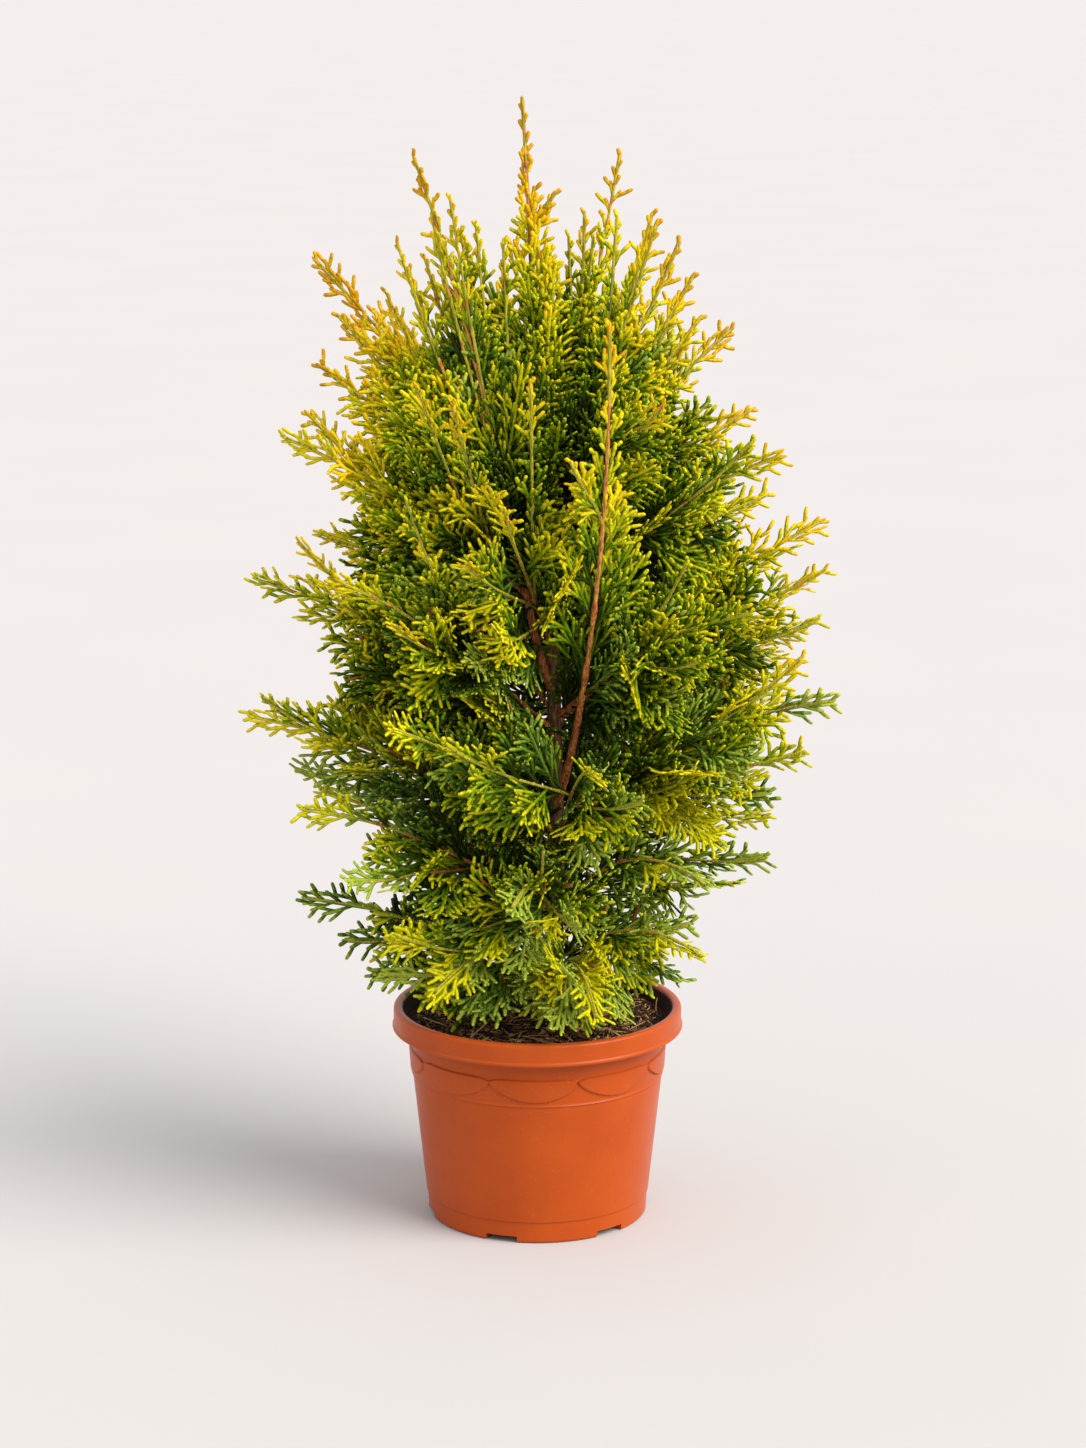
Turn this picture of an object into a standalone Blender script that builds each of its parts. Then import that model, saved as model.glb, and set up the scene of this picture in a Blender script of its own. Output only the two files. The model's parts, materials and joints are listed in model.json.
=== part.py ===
"""Potted golden arborvitae: a plastic nursery pot with its soil, a trunk, boughs and masses of foliage.

Metres, +Z up. The origin is the middle of the pot's flat underside, and -Y is the plant's front.
"""

import itertools
import math
import random

import bmesh
import bpy
from mathutils import Matrix, Vector
from mathutils.geometry import intersect_point_line

UP = Vector((0, 0, 1))
GAP = 0.0003

# Pot: rim and height are the driving sizes
RIM_RADIUS = 0.095
POT_HEIGHT = 0.140
RIM_DEPTH = 0.0145
RIM_INNER_RADIUS = 0.0881
RIM_WALL = 0.0025
RIM_ROUND = 0.0018
BODY_RADIUS = 0.0844
RING_RADIUS = 0.0826
RING_HEIGHT = 0.0945
BAND_RADIUS = 0.0724
BAND_HEIGHT = 0.0138
STEP = 0.0008
FOOT_RADIUS = 0.0718
FOOT_ROUND = 0.0016
WALL = 0.0019
FLOOR = 0.003
POT_SIDES = 36
NOTCHES = 6
NOTCH_WIDTH = 0.021
NOTCH_HEIGHT = 0.0048
NOTCH_REACH = 0.011
NOTCH_BELOW = 0.002
FIRST_NOTCH = 251

# Soil: a plug that fills the pot to just below its rim, in line with every other side of the pot
SOIL_TOP = 0.132
SOIL_EDGE = 0.1285
SOIL_FLAT_RADIUS = 0.034
SOIL_SIDES = 18

# Trunk: it leans and bows, and ends where the topmost mass begins
TREE_TOP = 0.727
TRUNK_TOP = 0.640
FOOT_X = 0.005
LEAN_X = -0.0144
BOW_X = 0.0108
BOW_Y = 0.004
BOW_SKEW = 0.6
TRUNK_RADIUS = 0.0065
TRUNK_TIP_RADIUS = 0.0008
FLARE_RADIUS = 0.0105
FLARE_HEIGHT = 0.020
TRUNK_POINTS = 12
FLARE_STEPS = (0, 0.3, 0.7)

# Limbs: radius grows with length, and the tip ends in a toothed blade
LIMB_SLENDERNESS = 0.0112
LIMB_TIP_RADIUS = 0.0008
STEM_MIN_RADIUS = 0.0009
ELBOW = 0.018
BOW_PLACE = 0.55
LENGTH_POINTS = 12
LEAVE_ANGLE = math.radians(32)
BOUGH_POINTS = 5
STEM_POINTS = 6
TIP_BLADE = 0.034
TIP_SINK = 0.004

# Foliage blades: each stands for a flat spray, with its teeth in shares of its length
BLADE_THICKNESS = 0.0016
BLADE_TEETH = 4
RIB = 0.055
TOOTH_START = 0.08
TOOTH_STEP = 0.17
TOOTH_LENGTH = 0.56
TOOTH_LEAST = 0.12
TOOTH_WIDTH = 0.25
TOOTH_ANGLE = math.radians(42)
TIP_SPREAD = 0.5
BLADE_SPACING = 0.030
BLADE_LONG = 0.110
BLADE_SHORT = 0.018
BLADE_GROWTH = 0.72
UPRIGHT_LOSS = 0.5
BLADE_ANGLE = 42
TIP_BLADE_ANGLE = 32
LEAST_BLADES = 4
BLADE_LEAD = 0.6
GOLDEN_ANGLE = 137.5
SPIN_SCATTER = 18
TILT_SCATTER = 35
LENGTH_SCATTER = (0.9, 1.08)
SHRINKS = (1.0, 0.88, 0.77, 0.67, 0.58, 0.5, 0.42)
TURNS = (0, 40, -40, 80, -80)
ROLLS = (0, 50, -50)
SPACE_MARGIN = 0.0012
LIMB_CLEARANCE = 0.0012
SOIL_CLEARANCE = 0.002
RIM_CLEARANCE = 0.006
SEED = 41

# name: start height, bearing in degrees from +X, reach, tip height, bow above the chord, bare share
LIMBS = {
    "skirt_left": (0.152, 186, 0.154, 0.216, 0.010, 0.0),
    "skirt_front_left": (0.160, 237, 0.122, 0.174, 0.022, 0.0),
    "skirt_front": (0.154, 290, 0.112, 0.158, 0.026, 0.0),
    "skirt_front_right": (0.166, 334, 0.120, 0.184, 0.022, 0.0),
    "skirt_back_right": (0.156, 38, 0.134, 0.210, 0.012, 0.0),
    "skirt_back": (0.163, 110, 0.130, 0.196, 0.014, 0.0),
    "lower_back_left": (0.192, 156, 0.160, 0.268, 0.012, 0.0),
    "lower_front_left": (0.200, 210, 0.172, 0.292, 0.012, 0.0),
    "lower_front": (0.190, 263, 0.134, 0.238, 0.022, 0.0),
    "lower_front_right": (0.204, 315, 0.152, 0.246, 0.026, 0.0),
    "lower_right": (0.196, 6, 0.155, 0.262, 0.024, 0.0),
    "lower_back": (0.203, 72, 0.156, 0.262, 0.014, 0.0),
    "middle_left": (0.240, 182, 0.187, 0.334, 0.014, 0.24),
    "middle_front_left": (0.252, 234, 0.156, 0.352, 0.010, 0.24),
    "middle_front": (0.246, 283, 0.152, 0.330, 0.014, 0.24),
    "middle_right": (0.258, 350, 0.193, 0.350, 0.016, 0.24),
    "middle_back_right": (0.249, 36, 0.178, 0.340, 0.014, 0.24),
    "middle_back_left": (0.255, 114, 0.172, 0.346, 0.012, 0.24),
    "upper_left": (0.312, 176, 0.184, 0.4205, 0.012, 0.26),
    "upper_front_left": (0.322, 218, 0.158, 0.440, 0.008, 0.24),
    "upper_front_right": (0.330, 324, 0.165, 0.418, 0.012, 0.24),
    "upper_right": (0.326, 8, 0.188, 0.457, 0.010, 0.26),
    "upper_back_right": (0.318, 62, 0.168, 0.436, 0.010, 0.24),
    "upper_back_left": (0.334, 134, 0.170, 0.440, 0.010, 0.24),
    "high_left": (0.398, 184, 0.163, 0.516, 0.010, 0.24),
    "high_front": (0.376, 254, 0.122, 0.500, 0.008, 0.24),
    "high_right": (0.404, 350, 0.156, 0.506, 0.010, 0.24),
    "high_back": (0.392, 96, 0.146, 0.520, 0.008, 0.24),
    "leader_front_right": (0.274, 298, 0.094, 0.596, -0.026, 0.40),
    "leader_left": (0.350, 200, 0.082, 0.694, 0.008, 0.40),
    "leader_outer_left": (0.440, 166, 0.148, 0.624, 0.006, 0.24),
    "leader_outer_right": (0.452, 14, 0.130, 0.580, 0.006, 0.0),
    "leader_right": (0.470, 336, 0.082, 0.654, -0.004, 0.24),
    "leader_inner_right": (0.492, 44, 0.074, 0.690, -0.004, 0.24),
    "leader_back": (0.462, 128, 0.082, 0.640, -0.004, 0.0),
}
TOP_MASS = "top"

# Colours read from the photograph
COLOURS = {
    "terracotta plastic": ((0.62, 0.16, 0.045), 0.42),
    "bark soil": ((0.055, 0.030, 0.016), 0.95),
    "red-brown bark": ((0.20, 0.085, 0.036), 0.85),
    "lime foliage": ((0.30, 0.36, 0.018), 0.55),
}


def clear_scene():
    """Remove every object that the file opens with."""
    for obj in list(bpy.data.objects):
        bpy.data.objects.remove(obj)


def collection(name, shown=True):
    """A new collection; a hidden one holds cutters or helpers."""
    made = bpy.data.collections.new(name)
    made.hide_render = not shown
    bpy.context.scene.collection.children.link(made)
    return made


def material(name):
    """A Principled material in one of the plant's colours."""
    found = bpy.data.materials.get(name)
    if found:
        return found
    colour, roughness = COLOURS[name]
    made = bpy.data.materials.new(name)
    made.use_nodes = True
    shader = made.node_tree.nodes["Principled BSDF"]
    shader.inputs["Base Color"].default_value = (*colour, 1)
    shader.inputs["Roughness"].default_value = roughness
    made.diffuse_color = (*colour, 1)
    return made


def add_object(name, data, group, finish=None):
    """Link a new object that holds data to a collection."""
    obj = bpy.data.objects.new(name, data)
    group.objects.link(obj)
    if finish:
        data.materials.append(material(finish))
    return obj


def as_mesh(obj, name):
    """The evaluated mesh of a curve, with its caps welded; the curve is removed."""
    bpy.context.view_layer.update()
    graph = bpy.context.evaluated_depsgraph_get()
    mesh = bpy.data.meshes.new_from_object(obj.evaluated_get(graph))
    mesh.transform(obj.matrix_world)
    mesh.name = name
    work = bmesh.new()
    work.from_mesh(mesh)
    bmesh.ops.remove_doubles(work, verts=work.verts, dist=1e-6)
    bmesh.ops.recalc_face_normals(work, faces=work.faces)
    work.to_mesh(mesh)
    work.free()
    bpy.data.objects.remove(obj)
    return mesh


def turned(name, profile, sides, group, finish):
    """A shape turned about Z from (radius, height) points that run down its outer side."""
    mesh = bpy.data.meshes.new(name)
    points = [(radius, 0, height) for radius, height in profile]
    mesh.from_pydata(points, [(i, i + 1) for i in range(len(points) - 1)], [])
    obj = add_object(name, mesh, group, finish)
    screw = obj.modifiers.new("Turn", "SCREW")
    screw.steps = screw.render_steps = sides
    screw.use_merge_vertices = True
    screw.merge_threshold = 1e-5
    screw.use_smooth_shade = True
    return obj


def pot_wall():
    """Radius and height of the wall's inner side at the floor and under the rim."""
    return (FOOT_RADIUS - WALL - STEP, FLOOR), (BODY_RADIUS - WALL, POT_HEIGHT - RIM_DEPTH - WALL)


def pot_profile():
    """Up the inside, over the rolled rim, down the outside and in along the flat underside."""
    inner_foot, inner_top = pot_wall()
    under_rim = POT_HEIGHT - RIM_DEPTH
    lip = POT_HEIGHT - RIM_WALL
    return (
        (0, FLOOR),
        inner_foot,
        inner_top,
        (RIM_INNER_RADIUS, POT_HEIGHT - RIM_ROUND),
        (RIM_INNER_RADIUS + RIM_ROUND, POT_HEIGHT),
        (RIM_RADIUS - RIM_ROUND - STEP, POT_HEIGHT),
        (RIM_RADIUS - STEP, POT_HEIGHT - RIM_ROUND),
        (RIM_RADIUS, under_rim + STEP),
        (RIM_RADIUS - STEP, under_rim),
        (RIM_RADIUS - RIM_WALL + STEP, under_rim),
        (RIM_RADIUS - RIM_WALL, lip),
        (RIM_INNER_RADIUS + RIM_ROUND, lip),
        (BODY_RADIUS, under_rim - STEP),
        (RING_RADIUS, RING_HEIGHT + STEP),
        (RING_RADIUS - STEP, RING_HEIGHT),
        (BAND_RADIUS + STEP, BAND_HEIGHT + STEP),
        (BAND_RADIUS, BAND_HEIGHT),
        (FOOT_RADIUS, FOOT_ROUND),
        (FOOT_RADIUS - FOOT_ROUND, 0),
        (0, 0),
    )


def make_pot(group, notches):
    """The pot, with drainage notches cut through the edge of its floor."""
    pot = turned("pot", pot_profile(), POT_SIDES, group, "terracotta plastic")
    for index in range(NOTCHES):
        turn = Matrix.Rotation(math.radians(FIRST_NOTCH + index * 360 / NOTCHES), 4, "Z")
        work = bmesh.new()
        bmesh.ops.create_cube(work, size=1)
        depth = NOTCH_HEIGHT + NOTCH_BELOW
        size = Matrix.Diagonal((2 * NOTCH_REACH, NOTCH_WIDTH, depth, 1))
        place = Matrix.Translation((FOOT_RADIUS, 0, NOTCH_HEIGHT - depth / 2))
        bmesh.ops.transform(work, matrix=turn @ place @ size, verts=work.verts)
        mesh = bpy.data.meshes.new("notch")
        work.to_mesh(mesh)
        work.free()
        cutter = add_object(f"notch_{index + 1}", mesh, notches)
        cutter.hide_render = True
        cutter.display_type = "WIRE"
    cut = pot.modifiers.new("Drainage notches", "BOOLEAN")
    cut.operation = "DIFFERENCE"
    cut.operand_type = "COLLECTION"
    cut.collection = notches
    return pot


def make_soil(group):
    """The soil plug, a little clear of the pot's wall and floor."""
    (foot_radius, floor), (top_radius, under_rim) = pot_wall()
    flare = (RIM_INNER_RADIUS - top_radius) / (POT_HEIGHT - RIM_ROUND - under_rim)
    profile = (
        (0, SOIL_TOP),
        (SOIL_FLAT_RADIUS, SOIL_TOP),
        (top_radius - GAP + flare * (SOIL_EDGE - under_rim), SOIL_EDGE),
        (top_radius - GAP, under_rim),
        (foot_radius - GAP, floor + GAP),
        (0, floor + GAP),
    )
    return turned("soil", profile, SOIL_SIDES, group, "bark soil")


def trunk_point(height):
    """The middle of the trunk at a height, bowed to +X low down and leaning to -X at the top."""
    share = (height - SOIL_TOP) / (TREE_TOP - SOIL_TOP)
    bow = math.sin(math.pi * max(share, 0) ** BOW_SKEW)
    return Vector((FOOT_X + LEAN_X * share + BOW_X * bow, BOW_Y * bow, height))


def trunk_radius(height):
    """The trunk's taper, with the root flare added near the soil."""
    share = (height - SOIL_TOP) / (TREE_TOP - SOIL_TOP)
    taper = TRUNK_TIP_RADIUS + (TRUNK_RADIUS - TRUNK_TIP_RADIUS) * (1 - share)
    flare = max(0, 1 - (height - SOIL_TOP) / FLARE_HEIGHT) ** 2
    return taper + (FLARE_RADIUS - TRUNK_RADIUS) * flare


def tube(name, points, radii, group, resolution, section=None):
    """A curve object along points with one radius each and filled caps."""
    curve = bpy.data.curves.new(name, "CURVE")
    curve.dimensions = "3D"
    curve.use_fill_caps = True
    curve.twist_mode = "MINIMUM"
    if section:
        curve.bevel_mode = "OBJECT"
        curve.bevel_object = section
    else:
        curve.bevel_depth = 1
        curve.bevel_resolution = resolution
    spline = curve.splines.new("POLY")
    spline.points.add(len(points) - 1)
    for control, point, radius in zip(spline.points, points, radii):
        control.co = (*point, 1)
        control.radius = radius
    return add_object(name, curve, group)


def trunk_tube(name, wider, group):
    """A tube along the trunk's line, from its foot on the soil to its tip."""
    foot = SOIL_TOP + GAP
    heights = [foot + FLARE_HEIGHT * step for step in FLARE_STEPS]
    rest = TRUNK_POINTS - len(heights)
    above = TRUNK_TOP - foot - FLARE_HEIGHT
    heights += [foot + FLARE_HEIGHT + above * i / (rest - 1) for i in range(rest)]
    points = [trunk_point(height) for height in heights]
    points[0].xy = points[1].xy
    return tube(name, points, [trunk_radius(height) + wider for height in heights], group, 2)


def make_trunk(group):
    """The whole trunk, from its flat foot to the topmost mass."""
    trunk = trunk_tube("trunk", 0, group)
    trunk.data.materials.append(material("red-brown bark"))


def make_seat_cutter(cutters):
    """The trunk's shape, a gap wider, which cuts the foot of each limb."""
    mesh = as_mesh(trunk_tube("seat", GAP, cutters), "seat")
    cutter = add_object("seat", mesh, cutters)
    cutter.hide_render = True
    cutter.display_type = "WIRE"
    return cutter


class Limb:
    """One limb's line: it leaves the trunk at a slant and bows to its tip."""

    def __init__(self, name, start, bearing, reach, tip, bow, bare):
        """Work out the curve's four control points, from the middle of the trunk to the limb's tip."""
        angle = math.radians(bearing)
        out = Vector((math.cos(angle), math.sin(angle), 0))
        root = trunk_point(start)
        end = Vector((out.x * reach, out.y * reach, tip))
        chord = end - root
        along = chord.normalized()
        above = (UP - along * UP.dot(along)).normalized()
        leave = out * math.cos(LEAVE_ANGLE) + UP * math.sin(LEAVE_ANGLE)
        self.name = name
        self.bare = bare
        self.controls = (root, root + leave * ELBOW, root + chord * BOW_PLACE + above * bow * 2, end)
        line = self.points(0, 1, LENGTH_POINTS)
        self.length = sum((b - a).length for a, b in zip(line, line[1:]))
        self.root_radius = LIMB_SLENDERNESS * self.length

    def at(self, t):
        """The point at share t of the curve."""
        a, b, c, d = self.controls
        s = 1 - t
        return a * s**3 + b * 3 * s * s * t + c * 3 * s * t * t + d * t**3

    def direction(self, t):
        """The unit direction at share t of the curve."""
        a, b, c, d = self.controls
        s = 1 - t
        return ((b - a) * s * s + (c - b) * 2 * s * t + (d - c) * t * t).normalized()

    def radius(self, t):
        """The limb's taper."""
        return self.root_radius * (1 - t) + LIMB_TIP_RADIUS * t

    def points(self, first, last, count):
        """Evenly spaced points of the curve."""
        return [self.at(first + (last - first) * i / (count - 1)) for i in range(count)]


class TopShoot(Limb):
    """The trunk's own last stretch, which carries the topmost mass."""

    def __init__(self):
        """Follow the trunk's line from its cut tip to the top of the tree."""
        self.name = TOP_MASS
        self.bare = 0
        self.length = TREE_TOP - TRUNK_TOP
        self.root_radius = trunk_radius(TRUNK_TOP)

    def at(self, t):
        """The point at share t of the shoot."""
        return trunk_point(TRUNK_TOP + GAP + t * (self.length - GAP))

    def direction(self, t):
        """The unit direction at share t of the shoot."""
        return (self.at(t + 0.01) - self.at(t - 0.01)).normalized()


def stem_start(limb):
    """Share of the curve at which the stem of a limb's mass begins, clear of its bough."""
    if not limb.bare:
        return 0
    end = limb.at(limb.bare)
    before = end - limb.at(limb.bare * (1 - 1 / (BOUGH_POINTS - 1)))
    after = limb.at(limb.bare + (1 - limb.bare) / (STEM_POINTS - 1)) - end
    bend = before.angle(after)
    return limb.bare + (GAP + limb.radius(limb.bare) * math.sin(bend)) / limb.length


def stem_end(limb):
    """Share of the curve at which the stem gives way to the blade at its tip."""
    return 1 - TIP_BLADE / limb.length


def seat_on_trunk(obj, cutter):
    """Cut a limb's foot to a saddle that fits the trunk with a small gap."""
    cut = obj.modifiers.new("Seat on trunk", "BOOLEAN")
    cut.operation = "DIFFERENCE"
    cut.object = cutter


def make_bough(limb, cutter, group, helpers):
    """The bare stretch of a limb, from the trunk to its mass."""
    shares = [limb.bare * i / (BOUGH_POINTS - 1) for i in range(BOUGH_POINTS)]
    points = [limb.at(t) for t in shares]
    core = tube("bough", points, [limb.radius(t) for t in shares], helpers, 1)
    bough = add_object("bough_" + limb.name, as_mesh(core, "bough"), group, "red-brown bark")
    seat_on_trunk(bough, cutter)


def blade_outline():
    """Outline of a spray a unit long: a rib with alternate teeth that shorten to the tip."""
    sides = {1: [], -1: []}
    for index in range(BLADE_TEETH):
        root = TOOTH_START + TOOTH_STEP * index
        side = 1 if index % 2 == 0 else -1
        length = TOOTH_LENGTH * (1 - root) + TOOTH_LEAST
        tip = (root + length * math.cos(TOOTH_ANGLE), side * length * math.sin(TOOTH_ANGLE))
        notch = (root + TOOTH_WIDTH, side * RIB)
        sides[side] += [tip, notch]
    return [(0, -RIB)] + sides[-1] + [(1, 0)] + sides[1][::-1] + [(0, RIB)]


def unit_blade(group):
    """A toothed blade a unit long and a unit thick, lying in XY with its root at the origin."""
    curve = bpy.data.curves.new("blade", "CURVE")
    curve.dimensions = "2D"
    curve.fill_mode = "BOTH"
    curve.extrude = 0.5
    outline = blade_outline()
    spline = curve.splines.new("POLY")
    spline.points.add(len(outline) - 1)
    for control, (x, y) in zip(spline.points, outline):
        control.co = (x, y, 0, 1)
    spline.use_cyclic_u = True
    return as_mesh(add_object("blade", curve, group), "blade")


def blade_matrix(root, along, face, length, spread=1):
    """Place a unit blade: its root at a point, its rib along one direction, its face square to another."""
    across = face.cross(along).normalized()
    normal = along.cross(across)
    turn = Matrix((along, across, normal)).transposed().to_4x4()
    size = Matrix.Diagonal((length, length * spread, BLADE_THICKNESS, 1))
    return Matrix.Translation(root) @ turn @ size


def distance_to(point, line):
    """Distance from a point to a line of joined points."""
    nearest = math.inf
    for a, b in zip(line, line[1:]):
        foot, share = intersect_point_line(point, a, b)
        foot = a if share < 0 else b if share > 1 else foot
        nearest = min(nearest, (point - foot).length)
    return nearest


class Crown:
    """All the limbs, and the space that each mass keeps to."""

    def __init__(self):
        """Lay out the limbs and the lines that divide the crown."""
        self.limbs = [Limb(name, *sizes) for name, sizes in LIMBS.items()] + [TopShoot()]
        self.stems = {limb.name: limb.points(stem_start(limb), 1, STEM_POINTS) for limb in self.limbs}
        bare = [limb for limb in self.limbs if limb.bare]
        self.wood = [(limb.points(0, limb.bare, BOUGH_POINTS), limb.root_radius) for limb in bare]
        step = (TRUNK_TOP - SOIL_TOP) / TRUNK_POINTS
        for low in (SOIL_TOP + step * i for i in range(TRUNK_POINTS)):
            self.wood.append(((trunk_point(low), trunk_point(low + step)), trunk_radius(low)))

    def free(self, point, limb):
        """True if a point of a limb's blade lies in its own space and clear of wood, pot and soil."""
        radius = math.hypot(point.x, point.y)
        if not SOIL_TOP + SOIL_CLEARANCE < point.z < TREE_TOP:
            return False
        if point.z < POT_HEIGHT + SOIL_CLEARANCE and radius > RIM_INNER_RADIUS - RIM_CLEARANCE:
            return False
        if any(distance_to(point, line) < thick + LIMB_CLEARANCE for line, thick in self.wood):
            return False
        own = distance_to(point, self.stems[limb.name]) + SPACE_MARGIN
        others = (line for name, line in self.stems.items() if name != limb.name)
        return all(distance_to(point, line) > own for line in others)


def blade_samples(place):
    """Points of a placed blade to test: its outline, on both faces, and its rib."""
    outline = [Vector((x, y, z)) for x, y in blade_outline() for z in (-0.5, 0.5)]
    rib = [Vector((x / len(outline), 0, 0)) for x in range(0, len(outline), 4)]
    return [place @ point for point in outline + rib]


def laterals(limb, crown, dice):
    """Matrices of the blades along a limb's stem, turned by the golden angle and shrunk to fit."""
    first, last = stem_start(limb), stem_end(limb)
    span = (last - first) * limb.length
    count = max(LEAST_BLADES, round(span / BLADE_SPACING))
    placed = []
    spin = dice.uniform(0, 360)
    for index in range(count):
        share = (index + BLADE_LEAD) / (count - 1 + 2 * BLADE_LEAD)
        t = first + (last - first) * share
        spin += GOLDEN_ANGLE + dice.uniform(-SPIN_SCATTER, SPIN_SCATTER)
        growth = BLADE_GROWTH * (1 - UPRIGHT_LOSS * max(0, limb.direction(t).z))
        length = min(BLADE_LONG, BLADE_SHORT + growth * (1 - t) * limb.length)
        length *= dice.uniform(*LENGTH_SCATTER)
        angle = math.radians(BLADE_ANGLE + (TIP_BLADE_ANGLE - BLADE_ANGLE) * share)
        tilt = dice.uniform(-TILT_SCATTER, TILT_SCATTER)
        place = fit_blade(limb, crown, t, spin, angle, length, tilt)
        if place:
            placed.append(place)
    return placed


def fit_blade(limb, crown, t, spin, angle, length, tilt):
    """The largest placing of one blade that stays free, trying it round the stem, or None."""
    root, forward = limb.at(t), limb.direction(t)
    side = forward.orthogonal().normalized()
    for shrink, turn, roll in itertools.product(SHRINKS, TURNS, ROLLS):
        out = Matrix.Rotation(math.radians(spin + turn), 3, forward) @ side
        along = (forward * math.cos(angle) + out * math.sin(angle)).normalized()
        face = Matrix.Rotation(math.radians(tilt + roll), 3, along) @ forward.cross(out)
        place = blade_matrix(root, along, face, length * shrink)
        if all(crown.free(point, limb) for point in blade_samples(place)):
            return place
    return None


def tip_blade(limb, dice):
    """Matrix of the blade that carries a stem on to the limb's tip."""
    tip, end = limb.at(1), limb.at(stem_end(limb))
    along = (tip - end).normalized()
    root = end - along * TIP_SINK
    face = along.orthogonal()
    face.rotate(Matrix.Rotation(math.radians(dice.uniform(0, 360)), 3, along))
    return blade_matrix(root, along, face, (tip - root).length, TIP_SPREAD)


def make_mass(limb, crown, blade, section, cutter, group, helpers):
    """A limb's foliage: its stem and the blades on it, joined by one union."""
    dice = random.Random(f"{SEED} {limb.name}")
    first, last = stem_start(limb), stem_end(limb)
    shares = [first + (last - first) * i / (STEM_POINTS - 1) for i in range(STEM_POINTS)]
    radii = [max(limb.radius(t), STEM_MIN_RADIUS) for t in shares]
    stem = tube("stem", [limb.at(t) for t in shares], radii, helpers, 0, section)
    mass = add_object("foliage_" + limb.name, as_mesh(stem, "stem"), group, "lime foliage")
    if not limb.bare and limb.name != TOP_MASS:
        seat_on_trunk(mass, cutter)
    places = laterals(limb, crown, dice)
    places.append(tip_blade(limb, dice))
    sprays = collection("sprays", shown=False)
    for place in places:
        mesh = blade.copy()
        mesh.transform(place)
        add_object("spray", mesh, sprays)
    join = mass.modifiers.new("Join", "BOOLEAN")
    join.operation = "UNION"
    join.operand_type = "COLLECTION"
    join.collection = sprays
    join.solver = "MANIFOLD"
    bpy.context.view_layer.update()
    graph = bpy.context.evaluated_depsgraph_get()
    joined = bpy.data.meshes.new_from_object(mass.evaluated_get(graph))
    mass.modifiers.clear()
    mass.data = joined
    joined.name = mass.name
    for spray in list(sprays.objects):
        bpy.data.objects.remove(spray)
    bpy.data.collections.remove(sprays)


def triangle_section(helpers):
    """A three-sided section of unit radius for the stems."""
    curve = bpy.data.curves.new("section", "CURVE")
    curve.dimensions = "2D"
    spline = curve.splines.new("POLY")
    spline.points.add(2)
    for index, control in enumerate(spline.points):
        angle = math.radians(90 + 120 * index)
        control.co = (math.cos(angle), math.sin(angle), 0, 1)
    spline.use_cyclic_u = True
    section = add_object("section", curve, helpers)
    section.hide_render = True
    return section


def main():
    """Build the plant and its pot."""
    clear_scene()
    plant = collection("potted arborvitae")
    notches = collection("notches", shown=False)
    cutters = collection("cutters", shown=False)
    helpers = collection("helpers", shown=False)
    make_pot(plant, notches)
    make_soil(plant)
    make_trunk(plant)
    cutter = make_seat_cutter(cutters)
    crown = Crown()
    section = triangle_section(helpers)
    blade = unit_blade(helpers)
    for limb in crown.limbs:
        if limb.bare:
            make_bough(limb, cutter, plant, helpers)
        make_mass(limb, crown, blade, section, cutter, plant, helpers)


main()
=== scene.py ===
"""Looks of the potted golden arborvitae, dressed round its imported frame.

Metres, +Z up. The pot's flat underside stands at the origin, and -Y is the plant's front.
"""

from __future__ import annotations

import itertools
import json
import logging
import math
import random
import sys
from dataclasses import dataclass, field
from enum import Enum
from typing import NamedTuple

import bpy
import numpy as np
from mathutils import Matrix, Vector, noise

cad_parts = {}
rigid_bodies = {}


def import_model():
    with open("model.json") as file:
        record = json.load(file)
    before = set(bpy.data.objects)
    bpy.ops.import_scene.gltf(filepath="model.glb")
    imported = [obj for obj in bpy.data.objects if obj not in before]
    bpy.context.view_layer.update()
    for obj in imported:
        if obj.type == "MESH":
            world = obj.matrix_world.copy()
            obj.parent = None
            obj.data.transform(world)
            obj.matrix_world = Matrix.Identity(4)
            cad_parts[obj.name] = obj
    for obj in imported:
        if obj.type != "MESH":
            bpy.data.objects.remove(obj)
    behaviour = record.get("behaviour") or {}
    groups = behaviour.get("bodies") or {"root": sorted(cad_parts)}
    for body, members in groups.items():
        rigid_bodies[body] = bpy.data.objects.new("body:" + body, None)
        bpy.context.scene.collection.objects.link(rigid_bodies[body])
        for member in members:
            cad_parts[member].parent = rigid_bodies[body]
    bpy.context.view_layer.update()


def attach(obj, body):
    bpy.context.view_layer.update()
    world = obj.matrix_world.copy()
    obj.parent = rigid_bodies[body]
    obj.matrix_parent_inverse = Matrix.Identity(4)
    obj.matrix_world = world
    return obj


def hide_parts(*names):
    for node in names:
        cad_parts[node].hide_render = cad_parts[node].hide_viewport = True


UP = Vector((0, 0, 1))
GAP = 0.0003
SLACK = 1e-5
Curve = tuple[tuple[float, ...], tuple[float, ...]]
LOG = logging.getLogger("arborvitae")

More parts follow.
